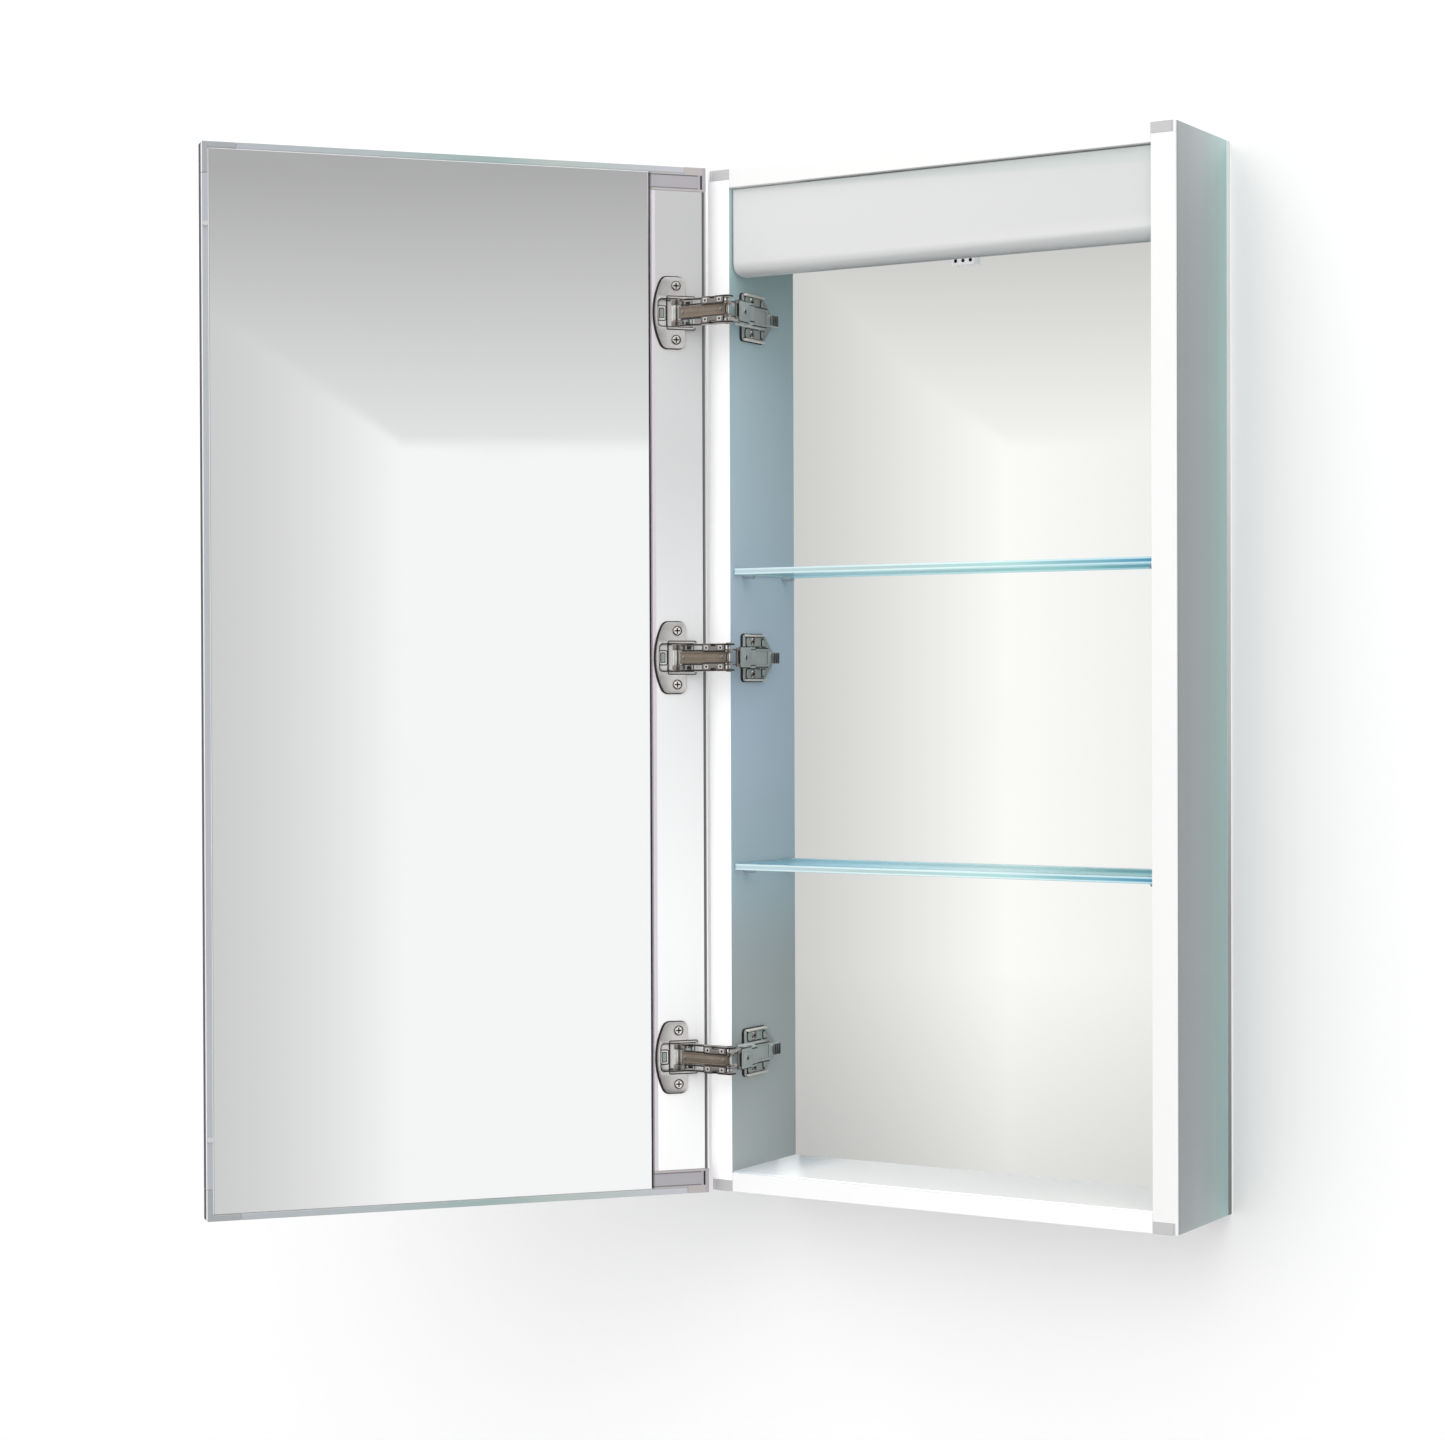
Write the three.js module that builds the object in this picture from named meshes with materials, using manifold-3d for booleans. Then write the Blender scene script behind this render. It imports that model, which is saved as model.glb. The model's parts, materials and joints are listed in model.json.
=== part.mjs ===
// A tall, shallow medicine cabinet that hangs on a wall. Its mirrored door opens on three
// double-pivot concealed hinges along the left side. Two glass shelves stand on pegs inside,
// and an electrics box with an outlet in its underside fills the top.
//
// Millimetres, +Z up. The origin is the middle of the back panel's rear face, which lies
// against the wall. +Y points into the wall and +X points to the right.

import * as THREE from 'three';
import { mergeVertices } from 'three/addons/utils/BufferGeometryUtils.js';
import Module from 'manifold-3d';

const manifold = await Module();
manifold.setup();

// ------------------------------------------------------------------ driving dimensions

// Cabinet
const CABINET_WIDTH = 387;
const CABINET_HEIGHT = 787;
const CABINET_DEPTH = 102;
const SIDE_THICKNESS = 19; // side profile, outer lip to inner face
const BAR_THICKNESS = 14.5; // top and bottom profiles
const PROFILE_WALL = 1.5; // wall of the hollow aluminium profiles
const LIP_FRONT = 2; // front lip that covers the side mirror's edge
const LIP_REAR = 7;
const SIDE_MIRROR_THICKNESS = 3;
const CORNER_CAP_HEIGHT = 8.5;
const BACK_PANEL_THICKNESS = 2;
const BACK_MIRROR_THICKNESS = 3;
const FLOOR_LINER_THICKNESS = 1;
const WALL_SCREW_RADIUS = 3;
const WALL_SCREW_SPACING = 280;

// Shelves
const SHELF_THICKNESS = 5;
const SHELF_SIDE_CLEARANCE = 1;
const SHELF_FRONT_SETBACK = 4;
const SHELF_REAR_CLEARANCE = 1;
const SHELF_FROM_HINGE = { upper: 66.3, lower: -161.3 }; // middle of the glass above the middle hinge
const PEG_LENGTH = 9;
const PEG_RADIUS = 3;
const PEG_INSET = 16; // peg axis in from the shelf's front and rear edges

// Electrics box
const BOX_HEIGHT = 66.5;
const BOX_TOP_GAP = 1.3;
const BOX_SIDE_GAP = 1.4;
const BOX_FRONT_SETBACK = 4;
const BOX_WALL = 2.5;
const BOX_CORNER_RADIUS = 4.5;
const BOX_FRONT_RADIUS = 11;
const BOX_UNDERSIDE_SLOPE = 10.5; // degrees, rising towards the wall
const MIRROR_TO_BOX_GAP = 0.3;
const OUTLET_WIDTH = 17;
const OUTLET_DEPTH = 9;
const OUTLET_FACE_RISE = 1.5; // its face above the lowest line of the box
const OUTLET_BODY_HEIGHT = 20;
const OUTLET_FROM_WALL = 45;
const OUTLET_RIM = 0.8;
const CONTACT_SPACING = 6.2;
const CONTACT_RADIUS = 1.4;
const CONTACT_DEPTH = 7;
const CONTACT_ABOVE_FACE = 3; // from the outlet's lowest face to the middle of its holes
const TRAY_WIDTH = 120;
const TRAY_TOP_CLEARANCE = 7;
const TRAY_SHEET = 1.5;
const TRAY_SHELF_DEPTH = 22;
const TRAY_ABOVE_FLOOR = 5; // above the rear edge of the box's underside
const TERMINAL_SIZE = { width: 34, depth: 17, height: 16 };
const TERMINAL_ENTRY = 3.2; // width of each wire entry
const GLAND_FLANGE_RADIUS = 13;
const GLAND_BODY_RADIUS = 9.7;
const GLAND_CLEARANCE = 0.3;
const GLAND_BORE_RADIUS = 5;
const GLAND_FLANGE_THICKNESS = 2;
const GLAND_SIDE_OFFSET = 95; // left of the middle
const LEAD_RADIUS = 2.5;
const LEAD_GAP = 0.3;

// Door
const DOOR_SIDE_REVEAL = 0.98; // hinge edge in from the cabinet's side when closed
const DOOR_FREE_REVEAL = 1.02; // free edge in from the cabinet's other side
const DOOR_GAP = 2.16; // inner face in front of the cabinet when closed
const DOOR_THICKNESS = 16;
const OUTER_MIRROR_THICKNESS = 4;
const INNER_MIRROR_THICKNESS = 3;
const INNER_MIRROR_SUNK = 0.4;
const DOOR_JOINT = 0.3; // gap between neighbouring door pieces
const RIM_WIDTH = 4.5;
const STRIP_BEYOND_FLANGE = 1.7; // strip's width past the arc of the hinge cups' flanges
const STRIP_TO_MIRROR_GAP = 2.4;
const STRIP_CAP_HEIGHT = 13.5;
const STRIP_CAP_LEG = 17; // the part of a strip cap that ends the rail
const STRIP_GROOVE_INSET = 2.4;
const STRIP_GROOVE_WIDTH = 0.8;
const STRIP_GROOVE_DEPTH = 0.8;
const CORNER_LEG_ACROSS = 25;
const CORNER_LEG_DOWN = 23;
const BUMPER_RADIUS = 1.9;
const BUMPER_HEIGHT = 1.4;
const BUMPER_FROM_END = 60;

// Hinges: each is a chain of two levers, from a pivot in the arm to a pivot in the door's cup
const DOOR_OPEN_ANGLE = 130; // the door's turn from closed, as modelled
const TOP_HINGE_BELOW_BOX = 29.6;
const MIDDLE_HINGE_ABOVE_CENTRE = 18;
const BOTTOM_HINGE_ABOVE_FOOT = 105.2;
const ARM_PIVOT_RISE = 13.1; // first pivot in from the cabinet's inner side face
const LINK_LENGTH = 34.1;
const COUPLER_LENGTH = 45.6;
const LINK_ANGLE_CLOSED = -14.2; // from the front plane, outwards positive
const LINK_TURN_RATE = 0.765; // degrees for each degree that the door opens
const COUPLER_ANGLE_CLOSED = -23.25;
const COUPLER_TURN_RATE = 0.19;
const CUP_PIVOT_DEPTH = 2.1; // third pivot below the door's inner face

const PLATE_THICKNESS = 2.2;
const PLATE_HALF_HEIGHT = 18;
const PLATE_BEHIND_PIVOT = 10;
const PLATE_LENGTH = 44;
const PLATE_REAR_CHAMFER = 12.5;
const PLATE_FRONT_CHAMFER = 2.5;
const PLATE_LIP_RISE = 3;
const PLATE_LIP_THICKNESS = 1.1;
const PLATE_LIP_LENGTH = 29;

const COUPLER_HALF_HEIGHT = 4.6;
const COUPLER_RADIUS = 3;
const COUPLER_WEB = 1.4;
const COUPLER_CHEEK = 1.2;
const LINK_RADIUS = 4.4;
const LINK_CHEEK = 1.2;
const LINK_WEB = 1.2;
const LINK_WEB_START = 5;
const LINK_WEB_TO_ELBOW = 5; // rear end of the web to the second pivot
const ARM_CHEEK = 1.2;
const ARM_NOSE_RADIUS = 4.2;
const ARM_BASE = 1.4;
const ARM_LENGTH = 34; // from its pivot to its rear end
const ARM_COVER_START = 7.6; // from its pivot to the front end of its cover
const ARM_COVER_THICKNESS = 1.6;
const ARM_COVER_RISE = 11.5; // top of the cover above the side's inner face
const LEVEL_CLEARANCE = 0.4; // between the nested cheeks
const PIN_RADIUS = 1.5;
const PIN_CLEARANCE = 0.4;
const CUP_BARREL_RADIUS = 2.8;
const CUP_BARREL_HALF = 10.5;
const BARREL_END_CLEARANCE = 0.5;

// The cup's opening and its D-shaped flange lie about the third pivot, from the hinge edge's side
const CUP_OPENING = { before: 11.3, after: 16 };
const CUP_WALL = 1.2;
const CUP_DEPTH = 9;
const CUP_POCKET_CLEARANCE = 0.3;
const FLANGE_THICKNESS = 1;
const FLANGE = { straight: -4.8, shoulder: 12.5, arc: 19.5 };
const FLANGE_HALF = 27.3;
const FLANGE_CORNER = 4;

const LEVER_LENGTH = 19;
const LEVER_HALF_HEIGHT = 4.5;
const LEVER_THICKNESS = 3;
const LEVER_RISE = 7.2; // lever's middle above the side's inner face
const LEVER_GAP = 0.8;
const LEVER_RIBS = 5;
const LEVER_RIB_HEIGHT = 1.2;

// ------------------------------------------------------------------ materials

const standard = (color, roughness, metalness) =>
  new THREE.MeshStandardMaterial({ color, roughness, metalness });

const whiteAluminium = standard(0xf7f7f6, 0.38, 0.0);
const greyPlastic = standard(0xcbcbcb, 0.5, 0.0);
const mirrorGlass = standard(0xc4c8c4, 0.04, 1.0);
const clearGlass = standard(0xcfe6ea, 0.04, 0.0);
const boxPlastic = standard(0xe0e1e0, 0.45, 0.0);
const galvanised = standard(0xb9bcbc, 0.45, 0.9);
const whitePlastic = standard(0xf2f2f0, 0.4, 0.0);
const blackRubber = standard(0x2a2a2c, 0.8, 0.0);
const doorProfile = standard(0xd6d8dc, 0.35, 0.3);
const nickel = standard(0xb9b8b2, 0.28, 1.0);
const bronze = standard(0xa5937f, 0.3, 1.0);
const coreBoard = standard(0xb8a98c, 0.9, 0.0);
const clearRubber = standard(0xdfe2e0, 0.5, 0.0);

// ------------------------------------------------------------------ shape helpers

const radians = THREE.MathUtils.degToRad;
const halfWidth = CABINET_WIDTH / 2;
const halfHeight = CABINET_HEIGHT / 2;
const innerHalf = halfWidth - SIDE_THICKNESS;
const floorZ = BAR_THICKNESS - halfHeight;
const ceilingZ = halfHeight - BAR_THICKNESS;
const boxTopZ = ceilingZ - BOX_TOP_GAP;
const boxBottomZ = boxTopZ - BOX_HEIGHT;
const hingeZ = {
  top: boxBottomZ - TOP_HINGE_BELOW_BOX,
  middle: MIDDLE_HINGE_ABOVE_CENTRE,
  bottom: BOTTOM_HINGE_ABOVE_FOOT - halfHeight,
};

// x of a line `u` mm right of the cabinet's left side, and y of a plane `v` mm in front of its front
const across = (u) => u - halfWidth;
const forward = (v) => -CABINET_DEPTH - v;

function block([x0, x1], [y0, y1], [z0, z1]) {
  const geometry = new THREE.BoxGeometry(x1 - x0, y1 - y0, z1 - z0);
  return geometry.translate((x0 + x1) / 2, (y0 + y1) / 2, (z0 + z1) / 2);
}

function outline(points) {
  return new THREE.Shape(points.map(([a, b]) => new THREE.Vector2(a, b)));
}

function rectanglePath(a0, a1, b0, b1) {
  return outline([[a0, b0], [a1, b0], [a1, b1], [a0, b1]]);
}

function circlePath(a, b, radius) {
  return new THREE.Path().absarc(a, b, radius, 0, 2 * Math.PI, true);
}

function extrude(shape, depth, curveSegments = 8) {
  return new THREE.ExtrudeGeometry(shape, { depth, bevelEnabled: false, curveSegments });
}

// A shape drawn in x and y, from z0 to z1
function prismZ(shape, z0, z1, curveSegments) {
  return extrude(shape, z1 - z0, curveSegments).translate(0, 0, z0);
}

// A shape drawn in x and z, from y0 to y1
function prismY(shape, y0, y1, curveSegments) {
  return extrude(shape, y1 - y0, curveSegments).rotateX(Math.PI / 2).translate(0, y1, 0);
}

// A shape drawn in y and z, from x0 to x1
function prismX(shape, x0, x1, curveSegments) {
  const turn = new THREE.Matrix4().makeBasis(
    new THREE.Vector3(0, 1, 0), new THREE.Vector3(0, 0, 1), new THREE.Vector3(1, 0, 0));
  return extrude(shape, x1 - x0, curveSegments).applyMatrix4(turn).translate(x0, 0, 0);
}

function pinZ(x, y, radius, z0, z1, segments = 20) {
  const geometry = new THREE.CylinderGeometry(radius, radius, z1 - z0, segments);
  return geometry.rotateX(Math.PI / 2).translate(x, y, (z0 + z1) / 2);
}

function pinY(x, z, radius, y0, y1, segments = 16) {
  return new THREE.CylinderGeometry(radius, radius, y1 - y0, segments).translate(x, (y0 + y1) / 2, z);
}

// ------------------------------------------------------------------ joins and cuts

function toSolid(geometry) {
  const bare = geometry.index ? geometry.toNonIndexed() : geometry.clone();
  bare.deleteAttribute('normal');
  bare.deleteAttribute('uv');
  const merged = mergeVertices(bare, 1e-4);
  return new manifold.Manifold(new manifold.Mesh({
    numProp: 3,
    vertProperties: new Float32Array(merged.attributes.position.array),
    triVerts: new Uint32Array(merged.index.array),
  }));
}

function toGeometry(solid) {
  const mesh = solid.getMesh();
  const geometry = new THREE.BufferGeometry();
  geometry.setAttribute('position', new THREE.BufferAttribute(new Float32Array(mesh.vertProperties), 3));
  geometry.setIndex(new THREE.BufferAttribute(new Uint32Array(mesh.triVerts), 1));
  geometry.computeVertexNormals();
  return geometry;
}

function cut(base, ...tools) {
  return toGeometry(tools.reduce((solid, tool) => solid.subtract(toSolid(tool)), toSolid(base)));
}

function join(base, ...others) {
  return toGeometry(others.reduce((solid, other) => solid.add(toSolid(other)), toSolid(base)));
}

function common(one, other) {
  return toGeometry(toSolid(one).intersect(toSolid(other)));
}

function place(parent, name, geometry, material) {
  const mesh = new THREE.Mesh(geometry, material);
  mesh.name = name;
  parent.add(mesh);
}

// ------------------------------------------------------------------ hinge positions

// Plan positions are [u, v]: right of the cabinet's left side, and in front of its front plane.
const direction = (degrees) => [Math.cos(radians(degrees)), Math.sin(radians(degrees))];
const step = ([u, v], [du, dv], length) => [u + du * length, v + dv * length];

const armPivotU = SIDE_THICKNESS + ARM_PIVOT_RISE;
const [linkClosedU, linkClosedV] = direction(LINK_ANGLE_CLOSED);
const [couplerClosedU, couplerClosedV] = direction(COUPLER_ANGLE_CLOSED);
const cupPivotInset =
  armPivotU + LINK_LENGTH * linkClosedU - COUPLER_LENGTH * couplerClosedU - DOOR_SIDE_REVEAL;
const armPivotV =
  DOOR_GAP + CUP_PIVOT_DEPTH - LINK_LENGTH * linkClosedV + COUPLER_LENGTH * couplerClosedV;

const linkAngle = LINK_ANGLE_CLOSED + LINK_TURN_RATE * DOOR_OPEN_ANGLE;
const couplerAngle = COUPLER_ANGLE_CLOSED + COUPLER_TURN_RATE * DOOR_OPEN_ANGLE;
const armPivot = [armPivotU, armPivotV];
const elbowPivot = step(armPivot, direction(linkAngle), LINK_LENGTH);
const cupPivot = step(elbowPivot, direction(couplerAngle), -COUPLER_LENGTH);
const stripWidth = cupPivotInset + FLANGE.arc + STRIP_BEYOND_FLANGE;
const doorAlong = direction(DOOR_OPEN_ANGLE);
const doorInward = [doorAlong[1], -doorAlong[0]];
const doorCorner = step(step(cupPivot, doorAlong, -cupPivotInset), doorInward, CUP_PIVOT_DEPTH);

// A group whose own x axis points along `degrees` in the plan
function planGroup([u, v], degrees) {
  const group = new THREE.Group();
  group.position.set(across(u), forward(v), 0);
  group.rotation.z = -radians(degrees);
  return group;
}

// ------------------------------------------------------------------ cabinet

const cabinet = new THREE.Group();

// The right side profile in plan; the left one is its mirror image
function sideProfileShape(side) {
  const x = (fromOutside) => side * (halfWidth - fromOutside);
  const recess = SIDE_MIRROR_THICKNESS;
  const shape = outline([
    [x(SIDE_THICKNESS), 0], [x(0), 0], [x(0), -LIP_REAR], [x(recess), -LIP_REAR],
    [x(recess), forward(-LIP_FRONT)], [x(0), forward(-LIP_FRONT)],
    [x(0), forward(0)], [x(SIDE_THICKNESS), forward(0)],
  ]);
  const hollow = [x(SIDE_THICKNESS - PROFILE_WALL), x(recess + PROFILE_WALL)];
  shape.holes.push(rectanglePath(
    Math.min(...hollow), Math.max(...hollow), forward(-PROFILE_WALL), -PROFILE_WALL));
  return shape;
}

function buildSides() {
  const half = halfHeight - CORNER_CAP_HEIGHT;
  const full = [-halfHeight, halfHeight];
  for (const [name, side] of [['left', -1], ['right', 1]]) {
    const outer = side * halfWidth;
    const web = side * (halfWidth - SIDE_MIRROR_THICKNESS);
    const inner = side * innerHalf;
    const mirrorX = [Math.min(outer, web), Math.max(outer, web)];
    const capX = [Math.min(web, inner), Math.max(web, inner)];
    const lips = [[forward(0), forward(-LIP_FRONT)], [-LIP_REAR, 0]]
      .map((spanY) => block(mirrorX, spanY, full));
    place(cabinet, `side_profile_${name}`,
      join(prismZ(sideProfileShape(side), -half, half), ...lips), whiteAluminium);
    place(cabinet, `side_mirror_${name}`,
      block(mirrorX, [forward(-LIP_FRONT), -LIP_REAR], full), mirrorGlass);
    for (const [end, sign] of [['bottom', -1], ['top', 1]]) {
      const spanZ = [sign * half, sign * halfHeight].sort((a, b) => a - b);
      place(cabinet, `corner_cap_${end}_${name}`, block(capX, [forward(0), 0], spanZ), greyPlastic);
    }
  }
}

function buildBars() {
  for (const [name, z0] of [['bottom', -halfHeight], ['top', ceilingZ]]) {
    const z1 = z0 + BAR_THICKNESS;
    const section = rectanglePath(forward(0), 0, z0, z1);
    section.holes.push(rectanglePath(
      forward(-PROFILE_WALL), -PROFILE_WALL, z0 + PROFILE_WALL, z1 - PROFILE_WALL));
    place(cabinet, `${name}_profile`, prismX(section, -innerHalf, innerHalf), whiteAluminium);
  }
}

const boxFrontY = forward(-BOX_FRONT_SETBACK);
const boxHalfWidth = innerHalf - BOX_SIDE_GAP;
const glandZ = (boxBottomZ + boxTopZ) / 2;

function buildBack() {
  const sheet = rectanglePath(-innerHalf, innerHalf, floorZ, ceilingZ);
  sheet.holes.push(circlePath(-GLAND_SIDE_OFFSET, glandZ, GLAND_BODY_RADIUS + GLAND_CLEARANCE));
  for (const side of [-1, 1]) {
    sheet.holes.push(circlePath(side * WALL_SCREW_SPACING / 2, glandZ, WALL_SCREW_RADIUS));
  }
  place(cabinet, 'back_panel', prismY(sheet, -BACK_PANEL_THICKNESS, 0), galvanised);
  const mirrorY = [-BACK_PANEL_THICKNESS - BACK_MIRROR_THICKNESS, -BACK_PANEL_THICKNESS];
  place(cabinet, 'back_mirror',
    block([-innerHalf, innerHalf], mirrorY, [floorZ, undersideZ(mirrorY[0]) - MIRROR_TO_BOX_GAP]),
    mirrorGlass);
  place(cabinet, 'floor_liner',
    block([-innerHalf, innerHalf], [forward(-LIP_FRONT), mirrorY[0]],
      [floorZ, floorZ + FLOOR_LINER_THICKNESS]), whitePlastic);
}

// A peg is a half-round bar with its flat on top, under the glass
function pegShape(y, topZ) {
  const shape = new THREE.Shape();
  shape.absarc(y, topZ, PEG_RADIUS, Math.PI, 2 * Math.PI, false);
  shape.closePath();
  return shape;
}

function buildShelves() {
  const shelfHalf = innerHalf - SHELF_SIDE_CLEARANCE;
  const frontY = forward(-SHELF_FRONT_SETBACK);
  const rearY = -BACK_PANEL_THICKNESS - BACK_MIRROR_THICKNESS - SHELF_REAR_CLEARANCE;
  for (const [name, rise] of Object.entries(SHELF_FROM_HINGE)) {
    const z0 = hingeZ.middle + rise - SHELF_THICKNESS / 2;
    place(cabinet, `shelf_${name}`,
      block([-shelfHalf, shelfHalf], [frontY, rearY], [z0, z0 + SHELF_THICKNESS]), clearGlass);
    for (const [end, y] of [['front', frontY + PEG_INSET], ['rear', rearY - PEG_INSET]]) {
      const left = prismX(pegShape(y, z0), -innerHalf, -innerHalf + PEG_LENGTH, 6);
      const right = prismX(pegShape(y, z0), innerHalf - PEG_LENGTH, innerHalf, 6);
      place(cabinet, `shelf_peg_${name}_${end}_left`, left, nickel);
      place(cabinet, `shelf_peg_${name}_${end}_right`, right, nickel);
    }
  }
}

// ------------------------------------------------------------------ electrics box

const boxSlope = radians(BOX_UNDERSIDE_SLOPE);

// Height of the box's sloping underside at the depth y
function undersideZ(y) {
  const arcY = boxFrontY + BOX_FRONT_RADIUS;
  return boxBottomZ + BOX_FRONT_RADIUS * (1 - 1 / Math.cos(boxSlope)) + (y - arcY) * Math.tan(boxSlope);
}

// The moulding's outer form, drawn in by `inset` on every side but the rear
function boxForm(inset, rearY) {
  const half = boxHalfWidth - inset;
  const z0 = boxBottomZ + inset;
  const z1 = boxTopZ - inset;
  const rearZ = undersideZ(rearY) + inset / Math.cos(boxSlope);
  const y0 = boxFrontY + inset;
  const corner = BOX_CORNER_RADIUS - inset;
  const round = BOX_FRONT_RADIUS - inset;
  const face = new THREE.Shape();
  face.moveTo(-half, z1);
  face.lineTo(-half, z0 + corner);
  face.absarc(-half + corner, z0 + corner, corner, Math.PI, 1.5 * Math.PI, false);
  face.lineTo(half - corner, z0);
  face.absarc(half - corner, z0 + corner, corner, 1.5 * Math.PI, 2 * Math.PI, false);
  face.lineTo(half, z1);
  face.closePath();
  const section = new THREE.Shape();
  section.moveTo(y0, z1);
  section.lineTo(y0, z0 + round);
  section.absarc(y0 + round, z0 + round, round, Math.PI, 1.5 * Math.PI + boxSlope, false);
  section.lineTo(rearY, rearZ);
  section.lineTo(rearY, z1);
  section.closePath();
  return common(prismY(face, y0, rearY, 6), prismX(section, -half, half, 10));
}

const outletY = -OUTLET_FROM_WALL;
const outletHalfX = OUTLET_WIDTH / 2;
const outletHalfY = OUTLET_DEPTH / 2;

function buildBoxCover() {
  const shell = cut(boxForm(0, -BACK_PANEL_THICKNESS), boxForm(BOX_WALL, 0));
  const outletHole = block(
    [-outletHalfX, outletHalfX], [outletY - outletHalfY, outletY + outletHalfY],
    [boxBottomZ - BOX_WALL, undersideZ(outletY + outletHalfY) + 2 * BOX_WALL]);
  place(cabinet, 'electrics_cover', cut(shell, outletHole), boxPlastic);
}

const outletFaceZ = boxBottomZ + OUTLET_FACE_RISE;

// A small three-contact outlet under the cover's slope, with its holes towards the open front
function buildOutlet() {
  const faceZ = outletFaceZ;
  const body = block([-outletHalfX, outletHalfX], [outletY - outletHalfY, outletY + outletHalfY],
    [faceZ, faceZ + OUTLET_BODY_HEIGHT]);
  const rim = cut(block(
    [-outletHalfX - OUTLET_RIM, outletHalfX + OUTLET_RIM],
    [outletY - outletHalfY - OUTLET_RIM, outletY + outletHalfY + OUTLET_RIM],
    [faceZ, boxTopZ]), boxForm(0, 0));
  const frontY = outletY - outletHalfY - OUTLET_RIM;
  const holes = [-1, 0, 1].map((i) => pinY(
    i * CONTACT_SPACING, faceZ + CONTACT_ABOVE_FACE, CONTACT_RADIUS, frontY - 1, frontY + CONTACT_DEPTH));
  place(cabinet, 'outlet', cut(join(body, rim), ...holes), whitePlastic);
}

const trayZ = undersideZ(-BACK_PANEL_THICKNESS) + TRAY_ABOVE_FLOOR;
const trayTopZ = boxTopZ - BOX_WALL - TRAY_TOP_CLEARANCE;
const terminalZ = trayZ + TRAY_SHEET;
const terminalX = TRAY_WIDTH / 2 - TERMINAL_SIZE.width;
const terminalRearY = -BACK_PANEL_THICKNESS - TRAY_SHEET - 1;
const terminalFrontY = terminalRearY - TERMINAL_SIZE.depth;

function buildTray() {
  const rear = -BACK_PANEL_THICKNESS;
  const section = outline([
    [rear, trayZ], [rear, trayTopZ], [rear - TRAY_SHEET, trayTopZ],
    [rear - TRAY_SHEET, trayZ + TRAY_SHEET], [rear - TRAY_SHELF_DEPTH, trayZ + TRAY_SHEET],
    [rear - TRAY_SHELF_DEPTH, trayZ],
  ]);
  const trayLeft = outletHalfX + BOX_WALL;
  place(cabinet, 'electrics_tray', prismX(section, trayLeft, trayLeft + TRAY_WIDTH), galvanised);
}

function buildTerminalBlock() {
  const x0 = outletHalfX + BOX_WALL + terminalX / 2;
  const size = TERMINAL_SIZE;
  const body = block([x0, x0 + size.width], [terminalFrontY, terminalRearY],
    [terminalZ, terminalZ + size.height]);
  const pitch = size.width / 3;
  const entries = [0, 1, 2].map((i) => {
    const x = x0 + pitch * (i + 0.5);
    return block([x - TERMINAL_ENTRY / 2, x + TERMINAL_ENTRY / 2],
      [terminalFrontY - 1, terminalFrontY + size.depth / 2],
      [terminalZ + size.height / 4, terminalZ + size.height / 4 + TERMINAL_ENTRY]);
  });
  place(cabinet, 'terminal_block', cut(body, ...entries), whitePlastic);
}

// A rubber grommet that lines the cable entry in the back panel
function buildGland() {
  const front = BACK_PANEL_THICKNESS + GLAND_FLANGE_THICKNESS;
  const profile = [
    [GLAND_BORE_RADIUS, 0], [GLAND_BODY_RADIUS, 0], [GLAND_BODY_RADIUS, BACK_PANEL_THICKNESS],
    [GLAND_FLANGE_RADIUS, BACK_PANEL_THICKNESS], [GLAND_FLANGE_RADIUS, front],
    [GLAND_BORE_RADIUS, front], [GLAND_BORE_RADIUS, 0],
  ].map(([r, h]) => new THREE.Vector2(r, h));
  const ring = new THREE.LatheGeometry(profile, 28).rotateX(Math.PI);
  place(cabinet, 'cable_gland', ring.translate(-GLAND_SIDE_OFFSET, 0, glandZ), blackRubber);
}

// The lead from the top of the outlet to the front of the terminal block
function buildLead() {
  const outletTop = outletFaceZ + OUTLET_BODY_HEIGHT + LEAD_GAP;
  const entryX = outletHalfX + BOX_WALL + terminalX / 2 + TERMINAL_SIZE.width / 2;
  const entryZ = terminalZ + TERMINAL_SIZE.height / 2;
  const loopY = terminalFrontY - 14;
  const path = new THREE.CatmullRomCurve3([
    new THREE.Vector3(0, outletY, outletTop),
    new THREE.Vector3(0, outletY, outletTop + 4),
    new THREE.Vector3(0, outletY, outletTop + 8),
    new THREE.Vector3(entryX / 2, loopY, outletTop + 15),
    new THREE.Vector3(entryX, terminalFrontY - 11, entryZ + 2),
    new THREE.Vector3(entryX, terminalFrontY - 6, entryZ),
    new THREE.Vector3(entryX, terminalFrontY - 3, entryZ),
    new THREE.Vector3(entryX, terminalFrontY - LEAD_GAP, entryZ),
  ]);
  const ring = new THREE.Shape().absarc(0, 0, LEAD_RADIUS, 0, 2 * Math.PI, false);
  place(cabinet, 'outlet_lead', new THREE.ExtrudeGeometry(ring, {
    steps: 16, curveSegments: 4, bevelEnabled: false, extrudePath: path,
  }), boxPlastic);
}

// ------------------------------------------------------------------ hinge parts

const linkLevel = COUPLER_HALF_HEIGHT + LEVEL_CLEARANCE; // inner face of the link's cheeks
const linkHalf = linkLevel + LINK_CHEEK;
const armLevel = linkHalf + LEVEL_CLEARANCE;
const armHalf = armLevel + ARM_CHEEK;
const holeRadius = PIN_RADIUS + PIN_CLEARANCE;
const cupHalf = CUP_BARREL_HALF + BARREL_END_CLEARANCE;
const cupOpening = [cupPivotInset - CUP_OPENING.before, cupPivotInset + CUP_OPENING.after];

// A flat bar with round ends, about the points 0 and `length` on the x axis
function barShape(length, radius) {
  const shape = new THREE.Shape();
  shape.absarc(0, 0, radius, Math.PI / 2, 1.5 * Math.PI, false);
  shape.absarc(length, 0, radius, -Math.PI / 2, Math.PI / 2, false);
  shape.closePath();
  return shape;
}

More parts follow.
